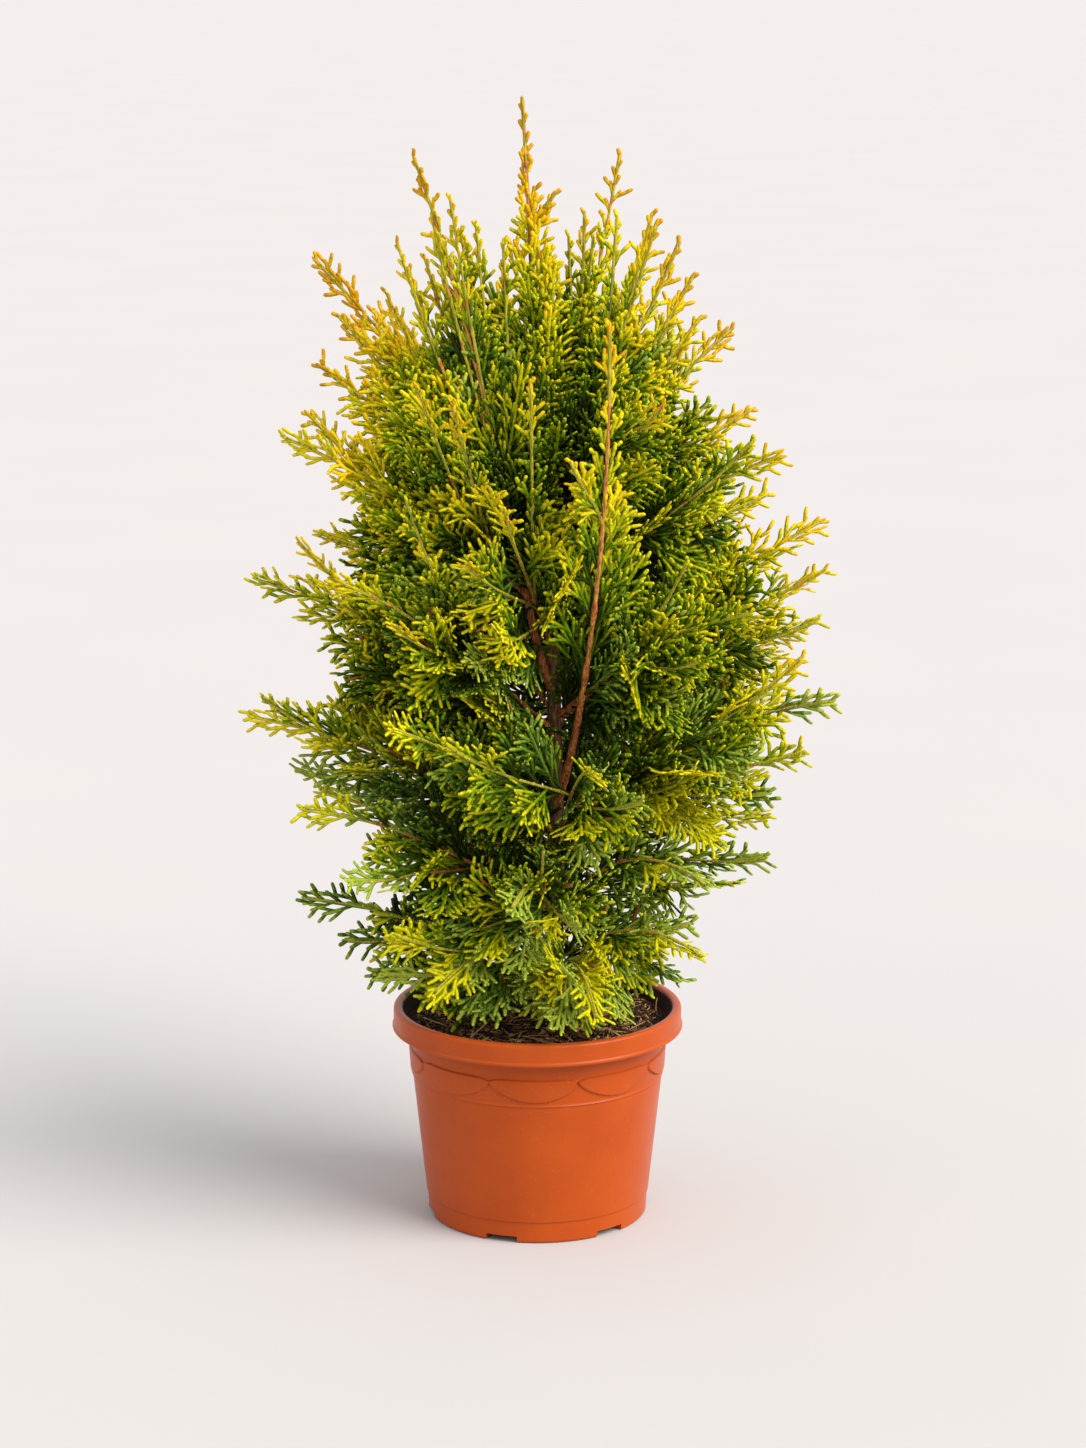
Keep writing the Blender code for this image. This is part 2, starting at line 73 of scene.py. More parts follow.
# name: height at which the limb leaves the trunk, bearing in degrees from +X, reach, height of its tip,
# bow above its chord, share of its length that stays without foliage
LIMBS = {
    "skirt_left": (0.152, 186, 0.154, 0.216, 0.010, 0.0),
    "skirt_front_left": (0.160, 237, 0.122, 0.174, 0.022, 0.0),
    "skirt_front": (0.154, 290, 0.112, 0.158, 0.026, 0.0),
    "skirt_front_right": (0.166, 334, 0.120, 0.184, 0.022, 0.0),
    "skirt_back_right": (0.156, 38, 0.134, 0.210, 0.012, 0.0),
    "skirt_back": (0.163, 110, 0.130, 0.196, 0.014, 0.0),
    "lower_back_left": (0.192, 156, 0.160, 0.268, 0.012, 0.0),
    "lower_front_left": (0.200, 210, 0.172, 0.292, 0.012, 0.0),
    "lower_front": (0.190, 263, 0.134, 0.238, 0.022, 0.0),
    "lower_front_right": (0.204, 315, 0.152, 0.246, 0.026, 0.0),
    "lower_right": (0.196, 6, 0.155, 0.262, 0.024, 0.0),
    "lower_back": (0.203, 72, 0.156, 0.262, 0.014, 0.0),
    "middle_left": (0.240, 182, 0.187, 0.334, 0.014, 0.24),
    "middle_front_left": (0.252, 234, 0.156, 0.352, 0.010, 0.24),
    "middle_front": (0.246, 283, 0.152, 0.330, 0.014, 0.24),
    "middle_right": (0.258, 350, 0.193, 0.350, 0.016, 0.24),
    "middle_back_right": (0.249, 36, 0.178, 0.340, 0.014, 0.24),
    "middle_back_left": (0.255, 114, 0.172, 0.346, 0.012, 0.24),
    "upper_left": (0.312, 176, 0.184, 0.4205, 0.012, 0.26),
    "upper_front_left": (0.322, 218, 0.158, 0.440, 0.008, 0.24),
    "upper_front_right": (0.330, 324, 0.165, 0.418, 0.012, 0.24),
    "upper_right": (0.326, 8, 0.188, 0.457, 0.010, 0.26),
    "upper_back_right": (0.318, 62, 0.168, 0.436, 0.010, 0.24),
    "upper_back_left": (0.334, 134, 0.170, 0.440, 0.010, 0.24),
    "high_left": (0.398, 184, 0.163, 0.516, 0.010, 0.24),
    "high_front": (0.376, 254, 0.122, 0.500, 0.008, 0.24),
    "high_right": (0.404, 350, 0.156, 0.506, 0.010, 0.24),
    "high_back": (0.392, 96, 0.146, 0.520, 0.008, 0.24),
    "leader_front_right": (0.274, 298, 0.094, 0.596, -0.026, 0.40),
    "leader_left": (0.350, 200, 0.082, 0.694, 0.008, 0.40),
    "leader_outer_left": (0.440, 166, 0.148, 0.624, 0.006, 0.24),
    "leader_outer_right": (0.452, 14, 0.130, 0.580, 0.006, 0.0),
    "leader_right": (0.470, 336, 0.082, 0.654, -0.004, 0.24),
    "leader_inner_right": (0.492, 44, 0.074, 0.690, -0.004, 0.24),
    "leader_back": (0.462, 128, 0.082, 0.640, -0.004, 0.0),
}
TOP_MASS = "top"

# limb that bears the twig, share of it where the twig leaves, place of the twig's tip
TWIGS = (
    ("skirt_left", 0.40, (-0.108, -0.030, 0.168)),
    ("skirt_left", 0.55, (-0.127, 0.004, 0.182)),
    ("skirt_front", 0.45, (0.012, -0.100, 0.152)),
    ("skirt_front_right", 0.45, (0.102, -0.020, 0.200)),
    ("lower_right", 0.35, (0.130, -0.010, 0.224)),
    ("lower_right", 0.50, (0.148, -0.040, 0.249)),
    ("lower_front", 0.45, (0.026, -0.124, 0.226)),
    ("lower_front_left", 0.50, (-0.120, -0.110, 0.252)),
    ("middle_left", 0.42, (-0.160, 0.020, 0.294)),
    ("middle_left", 0.58, (-0.176, -0.032, 0.352)),
    ("middle_front", 0.45, (0.066, -0.124, 0.306)),
    ("middle_right", 0.42, (0.170, -0.054, 0.322)),
    ("middle_right", 0.55, (0.169, -0.046, 0.382)),
    ("middle_back_right", 0.50, (0.162, 0.070, 0.330)),
    ("middle_back_left", 0.50, (-0.118, 0.118, 0.330)),
    ("upper_left", 0.45, (-0.153, -0.020, 0.452)),
    ("upper_left", 0.60, (-0.136, -0.034, 0.424)),
    ("upper_front_left", 0.50, (-0.088, -0.122, 0.416)),
    ("upper_front_right", 0.50, (0.100, -0.116, 0.392)),
    ("upper_right", 0.35, (0.182, -0.006, 0.398)),
    ("upper_right", 0.50, (0.185, -0.014, 0.432)),
    ("upper_back_right", 0.50, (0.104, 0.120, 0.420)),
    ("upper_back_left", 0.50, (-0.128, 0.096, 0.424)),
    ("high_left", 0.50, (-0.149, 0.020, 0.528)),
    ("high_front", 0.50, (-0.020, -0.112, 0.486)),
    ("high_right", 0.45, (0.137, -0.036, 0.518)),
    ("high_back", 0.50, (0.034, 0.126, 0.498)),
    ("leader_outer_left", 0.40, (-0.096, -0.012, 0.609)),
    ("leader_outer_left", 0.45, (-0.140, 0.002, 0.560)),
    ("leader_outer_right", 0.35, (0.139, 0.010, 0.531)),
    ("leader_left", 0.45, (-0.088, -0.018, 0.640)),
    ("leader_left", 0.58, (-0.054, -0.026, 0.668)),
    ("leader_right", 0.35, (0.099, -0.012, 0.619)),
    ("leader_right", 0.45, (0.089, -0.024, 0.640)),
    ("leader_inner_right", 0.45, (0.036, 0.020, 0.640)),
    ("leader_back", 0.50, (-0.022, 0.064, 0.616)),
    ("top", 0.03, (0.012, -0.004, 0.669)),
    ("leader_inner_right", 0.50, (0.030, 0.014, 0.655)),
    ("leader_inner_right", 0.42, (0.020, 0.010, 0.641)),
    ("leader_right", 0.40, (0.066, 0.000, 0.637)),
    ("leader_right", 0.28, (0.085, 0.000, 0.577)),
    ("leader_left", 0.52, (-0.038, -0.020, 0.652)),
    ("leader_left", 0.42, (-0.021, -0.016, 0.641)),
    ("leader_outer_left", 0.25, (-0.071, -0.008, 0.630)),
    ("leader_outer_left", 0.60, (-0.127, 0.000, 0.592)),
    ("leader_outer_right", 0.25, (0.110, 0.000, 0.537)),
    ("high_right", 0.50, (0.148, -0.004, 0.478)),
    ("lower_back", 0.30, (0.000, 0.100, 0.262)),
    ("middle_back_left", 0.25, (-0.006, 0.086, 0.352)),
    ("upper_back_left", 0.22, (-0.022, 0.078, 0.446)),
    ("upper_back_right", 0.22, (0.026, 0.080, 0.430)),
    ("middle_back_right", 0.25, (0.020, 0.080, 0.322)),
    ("upper_back_left", 0.15, (0.000, 0.060, 0.386)),
    ("upper_front_left", 0.50, (-0.081, -0.095, 0.491)),
    ("high_front", 0.35, (-0.045, -0.120, 0.455)),
    ("middle_front", 0.55, (-0.058, -0.132, 0.345)),
    ("skirt_front_left", 0.40, (-0.092, -0.095, 0.214)),
    ("lower_front", 0.50, (0.004, -0.120, 0.275)),
    ("leader_front_right", 0.72, (0.020, -0.106, 0.514)),
    ("high_front", 0.25, (-0.022, -0.124, 0.408)),
    ("leader_right", 0.15, (0.079, -0.078, 0.545)),
    ("high_left", 0.35, (-0.074, -0.070, 0.556)),
    ("high_left", 0.35, (-0.140, 0.000, 0.452)),
    ("upper_front_right", 0.45, (0.093, -0.100, 0.452)),
    ("high_front", 0.40, (-0.004, -0.078, 0.560)),
    ("leader_outer_left", 0.30, (-0.081, -0.010, 0.622)),
    ("leader_left", 0.30, (-0.060, -0.005, 0.618)),
    ("leader_outer_right", 0.40, (0.100, 0.000, 0.585)),
    ("leader_right", 0.25, (0.092, -0.010, 0.602)),
    ("leader_right", 0.55, (0.050, -0.018, 0.656)),
    ("skirt_front", 0.35, (0.022, -0.118, 0.192)),
    ("skirt_front_left", 0.30, (-0.101, -0.070, 0.180)),
    ("skirt_front_right", 0.40, (0.052, -0.088, 0.156)),
    ("high_left", 0.30, (-0.052, -0.088, 0.548)),
    ("lower_front", 0.30, (-0.094, -0.090, 0.206)),
    ("skirt_front_right", 0.45, (0.094, -0.030, 0.163)),
    ("middle_right", 0.35, (0.151, -0.020, 0.286)),
    ("leader_left", 0.50, (-0.066, -0.022, 0.657)),
    ("leader_left", 0.35, (-0.045, -0.012, 0.642)),
    ("leader_right", 0.50, (0.072, -0.016, 0.657)),
    ("leader_right", 0.30, (0.104, -0.010, 0.592)),
)

# leaders whose bare stems show to the front, and the direction in which they are kept clear
OPEN_LEADERS = ("leader_front_right", "leader_left")
FRONT = Vector((0, -1, 0.19)).normalized()


class Slot(Enum):
    """The record's material slots."""

    POT = "pot"
    SOIL = "soil"
    BARK = "bark"
    FOLIAGE = "foliage"


class Leaf(Enum):
    """Leaf tones as sRGB values, from the crown's shade to its sunlit tips."""

    SHADE = (41, 57, 4)
    DEEP = (62, 86, 5)
    BLUISH = (91, 121, 31)
    PALE_BLUISH = (148, 167, 52)
    LEAF = (93, 122, 4)
    FRESH = (132, 151, 5)
    SPRING = (173, 175, 8)
    LIME = (201, 195, 12)
    YELLOW_LIME = (219, 203, 16)
    PALE_LIME = (190, 194, 62)
    YELLOW = (231, 199, 14)
    GOLD = (227, 183, 12)
    AMBER = (207, 155, 12)
    WITHERED = (150, 98, 44)


LEAVES = list(Leaf)
WARM_TONES = (
    Leaf.SHADE, Leaf.DEEP, Leaf.LEAF, Leaf.FRESH, Leaf.SPRING, Leaf.LIME, Leaf.YELLOW_LIME, Leaf.YELLOW,
    Leaf.GOLD, Leaf.AMBER,
)
COOL_TONES = (
    Leaf.SHADE, Leaf.DEEP, Leaf.BLUISH, Leaf.BLUISH, Leaf.PALE_BLUISH, Leaf.PALE_BLUISH, Leaf.PALE_LIME,
    Leaf.PALE_LIME, Leaf.YELLOW_LIME, Leaf.YELLOW,
)


def linear(colour: tuple[float, ...], gain: float = 1.0) -> tuple[float, float, float, float]:
    """Turn an sRGB colour into the shader's linear values.

    Args:
        colour: Red, green and blue from 0 to 255.
        gain: Factor on the linear values.

    Returns:
        Red, green, blue and alpha from 0 to 1.
    """
    shares = [channel / 255 for channel in colour]
    values = [share / 12.92 if share <= 0.04045 else ((share + 0.055) / 1.055) ** 2.4 for share in shares]
    return (*(min(1.0, value * gain) for value in values), 1.0)


class Paint:
    """A Principled material under construction, with short calls for its nodes."""

    def __init__(self, name: str, roughness: float, specular: float = 0.5) -> None:
        """Start a material with a constant roughness and specular level."""
        self.material = bpy.data.materials.new(name)
        self.material.use_nodes = True
        self.tree = self.material.node_tree
        self.shader = self.tree.nodes["Principled BSDF"]
        self.shader.inputs["Roughness"].default_value = roughness
        self.shader.inputs["Specular IOR Level"].default_value = specular
        self.place = self.tree.nodes.new("ShaderNodeTexCoord").outputs["Object"]

    def stretched(self, scale: tuple[float, float, float]) -> bpy.types.NodeSocket:
        """Object coordinates scaled apart along the axes."""
        mapping = self.tree.nodes.new("ShaderNodeMapping")
        mapping.inputs["Scale"].default_value = scale
        self.tree.links.new(self.place, mapping.inputs["Vector"])
        return mapping.outputs["Vector"]

    def noise(
        self, scale: float, detail: float = 3.0, place: bpy.types.NodeSocket | None = None
    ) -> bpy.types.NodeSocket:
        """Add a noise texture.

        Args:
            scale: Cells per metre.
            detail: Octaves of finer noise.
            place: Coordinates, or None for the plain object coordinates.

        Returns:
            The noise factor.
        """
        texture = self.tree.nodes.new("ShaderNodeTexNoise")
        texture.inputs["Scale"].default_value = scale
        texture.inputs["Detail"].default_value = detail
        self.tree.links.new(place or self.place, texture.inputs["Vector"])
        return texture.outputs["Fac"]

    def cells(self, scale: float, place: bpy.types.NodeSocket | None = None) -> bpy.types.NodeSocket:
        """Distance to the nearest of scattered cell centres."""
        texture = self.tree.nodes.new("ShaderNodeTexVoronoi")
        texture.inputs["Scale"].default_value = scale
        self.tree.links.new(place or self.place, texture.inputs["Vector"])
        return texture.outputs["Distance"]

    def ramp(
        self, factor: bpy.types.NodeSocket, stops: list[tuple[float, tuple[float, float, float, float]]]
    ) -> bpy.types.NodeSocket:
        """Map a factor to colours.

        Args:
            factor: The value to map.
            stops: Positions from 0 to 1 and their linear colours.

        Returns:
            The colour.
        """
        node = self.tree.nodes.new("ShaderNodeValToRGB")
        elements = node.color_ramp.elements
        while len(elements) < len(stops):
            elements.new(0.5)
        for element, (position, colour) in zip(elements, stops):
            element.position = position
            element.color = colour
        self.tree.links.new(factor, node.inputs["Fac"])
        return node.outputs["Color"]

    def mix(
        self,
        factor: bpy.types.NodeSocket,
        first: bpy.types.NodeSocket,
        second: tuple[float, float, float, float],
        low: float,
        high: float,
    ) -> bpy.types.NodeSocket:
        """Lay a second colour over the first where a factor is high.

        Args:
            factor: The value that decides.
            first: The colour below.
            second: The linear colour on top.
            low: Factor at which the second colour starts to show.
            high: Factor at which it covers.

        Returns:
            The mixed colour.
        """
        spread = self.tree.nodes.new("ShaderNodeMapRange")
        spread.inputs["From Min"].default_value = low
        spread.inputs["From Max"].default_value = high
        self.tree.links.new(factor, spread.inputs["Value"])
        node = self.tree.nodes.new("ShaderNodeMix")
        node.data_type = "RGBA"
        self.tree.links.new(spread.outputs["Result"], node.inputs["Factor"])
        self.tree.links.new(first, node.inputs["A"])
        node.inputs["B"].default_value = second
        return node.outputs["Result"]

    def colour(self, colour: bpy.types.NodeSocket) -> None:
        """Use a colour as the base colour."""
        self.tree.links.new(colour, self.shader.inputs["Base Color"])

    def rough(self, factor: bpy.types.NodeSocket, low: float, high: float) -> None:
        """Let a factor spread the roughness between two values."""
        spread = self.tree.nodes.new("ShaderNodeMapRange")
        spread.inputs["To Min"].default_value = low
        spread.inputs["To Max"].default_value = high
        self.tree.links.new(factor, spread.inputs["Value"])
        self.tree.links.new(spread.outputs["Result"], self.shader.inputs["Roughness"])

    def bump(self, heights: list[tuple[bpy.types.NodeSocket, float]], strength: float = 1.0) -> None:
        """Stack bumps on the surface.

        Args:
            heights: Height factors and how far each stands up, in metres.
            strength: Strength of each bump.
        """
        below = None
        for height, distance in heights:
            node = self.tree.nodes.new("ShaderNodeBump")
            node.inputs["Strength"].default_value = strength
            node.inputs["Distance"].default_value = distance
            self.tree.links.new(height, node.inputs["Height"])
            if below:
                self.tree.links.new(below, node.inputs["Normal"])
            below = node.outputs["Normal"]
        self.tree.links.new(below, self.shader.inputs["Normal"])


@dataclass(frozen=True)
class PotPlastic:
    """Matte moulded plastic: terracotta orange, faintly clouded, with a fine grain."""

    name: str = "terracotta_plastic"
    body: tuple[int, int, int] = (176, 72, 15)
    warm: tuple[int, int, int] = (179, 75, 17)
    dull: tuple[int, int, int] = (172, 69, 13)
    dust: tuple[int, int, int] = (196, 104, 52)
    stain: tuple[int, int, int] = (158, 60, 11)
    specular: float = 0.20
    roughness: tuple[float, float] = (0.28, 0.40)
    polish_scale: float = 60
    cloud_scale: float = 24
    dust_scale: float = 520
    stain_scale: float = 640
    stain_stretch: tuple[float, float, float] = (1, 1, 1.7)
    grain_scale: float = 1500
    grain: float = 0.00006
    wave_scale: float = 140
    wave: float = 0.00012

    def material(self) -> bpy.types.Material:
        """The finished material."""
        paint = Paint(self.name, roughness=0.5, specular=self.specular)
        clouds = paint.noise(self.cloud_scale, detail=4)
        base = paint.ramp(
            clouds, [(0.34, linear(self.dull)), (0.52, linear(self.body)), (0.70, linear(self.warm))]
        )
        dusty = paint.mix(paint.noise(self.dust_scale, detail=3), base, linear(self.dust), low=0.62, high=1.0)
        stains = paint.noise(self.stain_scale, detail=2, place=paint.stretched(self.stain_stretch))
        paint.colour(paint.mix(stains, dusty, linear(self.stain), low=0.6, high=1.0))
        paint.rough(paint.noise(self.polish_scale, detail=4), *self.roughness)
        grain, waves = paint.noise(self.grain_scale, detail=2), paint.noise(self.wave_scale, detail=3)
        paint.bump([(grain, self.grain), (waves, self.wave)], strength=0.6)
        return paint.material


@dataclass(frozen=True)
class Earth:
    """Damp peaty soil and the loose bits on it."""

    name: str
    dark: tuple[int, int, int]
    light: tuple[int, int, int]
    patch_scale: float = 110
    grain_scale: float = 700
    grain: float = 0.0006
    lump_scale: float = 180
    lump: float = 0.0012

    def material(self) -> bpy.types.Material:
        """The finished material."""
        paint = Paint(self.name, roughness=0.92, specular=0.25)
        patches = paint.noise(self.patch_scale, detail=6)
        base = paint.ramp(patches, [(0.32, linear(self.dark)), (0.68, linear(self.light))])
        grains = paint.noise(self.grain_scale, detail=2)
        paint.colour(paint.mix(grains, base, linear(self.dark, gain=0.6), low=0.56, high=0.8))
        grain, lumps = paint.noise(self.grain_scale, detail=4), paint.noise(self.lump_scale, detail=4)
        paint.bump([(grain, self.grain), (lumps, self.lump)])
        return paint.material


@dataclass(frozen=True)
class Bark:
    """Stringy red-brown bark, with paler ridges and dark cracks along the stem."""

    name: str
    crack: tuple[int, int, int]
    body: tuple[int, int, int]
    ridge: tuple[int, int, int]
    stretch: tuple[float, float, float] = (1.0, 1.0, 0.16)
    string_scale: float = 900
    string: float = 0.0005
    patch_scale: float = 70
    grain_scale: float = 2200
    grain: float = 0.0001

    def material(self) -> bpy.types.Material:
        """The finished material."""
        paint = Paint(self.name, roughness=0.8, specular=0.3)
        strings = paint.noise(self.string_scale, detail=5, place=paint.stretched(self.stretch))
        base = paint.ramp(
            strings, [(0.32, linear(self.crack)), (0.5, linear(self.body)), (0.7, linear(self.ridge))]
        )
        patches = paint.noise(self.patch_scale, detail=3)
        paint.colour(paint.mix(patches, base, linear(self.crack), low=0.6, high=0.9))
        paint.rough(strings, low=0.9, high=0.62)
        paint.bump([(strings, self.string), (paint.noise(self.grain_scale, detail=2), self.grain)])
        return paint.material


@dataclass(frozen=True)
class ScaleLeaf:
    """Closely pressed scale leaves of one tone, a little waxy."""

    tone: Leaf
    specular: float = 0.11
    patch_scale: float = 150
    patch_gains: tuple[float, float] = (0.78, 1.16)
    scale_scale: float = 640
    seam_gain: float = 0.55
    seam: float = 0.0004

    def material(self) -> bpy.types.Material:
        """The finished material."""
        paint = Paint(f"scale_leaf_{self.tone.name.lower()}", roughness=0.5, specular=self.specular)
        colour = self.tone.value
        darker, lighter = (linear(colour, gain) for gain in self.patch_gains)
        patches = paint.noise(self.patch_scale, detail=2)
        base = paint.ramp(patches, [(0.3, darker), (0.7, lighter)])
        seams = paint.cells(self.scale_scale)
        paint.colour(paint.mix(seams, base, linear(colour, self.seam_gain), low=0.55, high=1.0))
        paint.rough(patches, low=0.42, high=0.6)
        paint.bump([(seams, self.seam)], strength=0.5)
        return paint.material


def deselect_all() -> None:
    """Leave nothing selected, in object mode."""
    if bpy.context.object and bpy.context.object.mode != "OBJECT":
        bpy.ops.object.mode_set(mode="OBJECT")
    bpy.ops.object.select_all(action="DESELECT")


def coordinates(mesh: bpy.types.Mesh) -> np.ndarray:
    """The vertices of a mesh, one row each."""
    values = np.empty(len(mesh.vertices) * 3, np.float32)
    mesh.vertices.foreach_get("co", values)
    return values.reshape(-1, 3).astype(float)


def move_vertices(mesh: bpy.types.Mesh, places: np.ndarray) -> None:
    """Put the vertices of a mesh at new places."""
    mesh.vertices.foreach_set("co", places.astype(np.float32).ravel())
    mesh.update()


def activate(obj: bpy.types.Object) -> None:
    """Leave one object selected and active, in object mode."""
    deselect_all()
    obj.select_set(True)
    bpy.context.view_layer.objects.active = obj


def apply_all(obj: bpy.types.Object) -> None:
    """Apply the modifiers of an object in their order."""
    activate(obj)
    for modifier in list(obj.modifiers):
        bpy.ops.object.modifier_apply(modifier=modifier.name)


def dress(
    obj: bpy.types.Object, name: str, nodes: list[str], finishes: list[bpy.types.Material]
) -> None:
    """Name a finished piece, give it its materials and tie it to the frame.

    Args:
        obj: The piece, at the origin.
        name: The piece's name.
        nodes: The CAD nodes that it stands for.
        finishes: Its materials, in slot order.
    """
    obj.name = obj.data.name = name
    while obj.data.materials and None in obj.data.materials[:]:
        obj.data.materials.pop(index=obj.data.materials[:].index(None))
    for finish in finishes:
        obj.data.materials.append(finish)
    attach(obj, "root")
    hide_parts(*nodes)
    obj.data.calc_loop_triangles()
    LOG.info("%s: %d triangles", name, len(obj.data.loop_triangles))


def close_ring() -> None:
    """Close the selected ring of edges with a fan of faces to its middle."""
    bpy.ops.mesh.extrude_edges_move()
    bpy.ops.mesh.merge(type="CENTER")


def select_ring(obj: bpy.types.Object, height: float, radius: float) -> None:
    """Select the vertices of one level ring in edit mode.

    Args:
        obj: The object in edit mode.
        height: The ring's height.
        radius: The ring's radius about Z.
    """
    bpy.ops.mesh.select_all(action="DESELECT")
    bpy.ops.object.mode_set(mode="OBJECT")
    places = coordinates(obj.data)
    near = np.abs(places[:, 2] - height) < SLACK
    near &= np.abs(np.hypot(places[:, 0], places[:, 1]) - radius) < SLACK
    obj.data.vertices.foreach_set("select", near)
    bpy.ops.object.mode_set(mode="EDIT")
    bpy.ops.mesh.select_mode(type="VERT")


def raise_rings(profile: list[tuple[float, float]], columns: int) -> bpy.types.Object:
    """Model a closed turned shape: a circle, extruded and resized ring by ring, with both ends closed.

    Args:
        profile: Radius and height of each ring, from the first pole to the last.
        columns: Vertices on a ring.

    Returns:
        The new object, in object mode.
    """
    deselect_all()
    radius, height = profile[0]
    bpy.ops.mesh.primitive_circle_add(vertices=columns, radius=radius, location=(0, 0, 0))
    obj = bpy.context.object
    bpy.ops.object.mode_set(mode="EDIT")
    bpy.ops.mesh.select_all(action="SELECT")
    bpy.ops.transform.translate(value=(0, 0, height))
    for (near, low), (far, high) in zip(profile, profile[1:]):
        bpy.ops.mesh.extrude_edges_move(TRANSFORM_OT_translate={"value": (0, 0, high - low)})
        scale = far / near
        bpy.ops.transform.resize(value=(scale, scale, 1), center_override=(0, 0, high))
    close_ring()
    select_ring(obj, height, radius)
    close_ring()
    bpy.ops.mesh.select_all(action="SELECT")
    bpy.ops.mesh.normals_make_consistent(inside=False)
    bpy.ops.object.mode_set(mode="OBJECT")
    return obj


def arc(
    centre: tuple[float, float], radius: float, first: float, last: float, count: int
) -> list[tuple[float, float]]:
    """Points of a profile along a circular arc.

    Args:
        centre: Radius and height of the arc's centre.
        radius: The arc's own radius.
        first: Start angle in degrees, with 0 outwards and 90 up.
        last: End angle in degrees.
        count: Number of points.

    Returns:
        Radius and height of each point.
    """
    angles = [math.radians(first + (last - first) * i / (count - 1)) for i in range(count)]
    return [(centre[0] + radius * math.cos(a), centre[1] + radius * math.sin(a)) for a in angles]


def run(start: tuple[float, float], end: tuple[float, float], count: int) -> list[tuple[float, float]]:
    """Evenly spaced profile points from a start up to, but without, an end."""
    return [tuple(a + (b - a) * i / count for a, b in zip(start, end)) for i in range(count)]


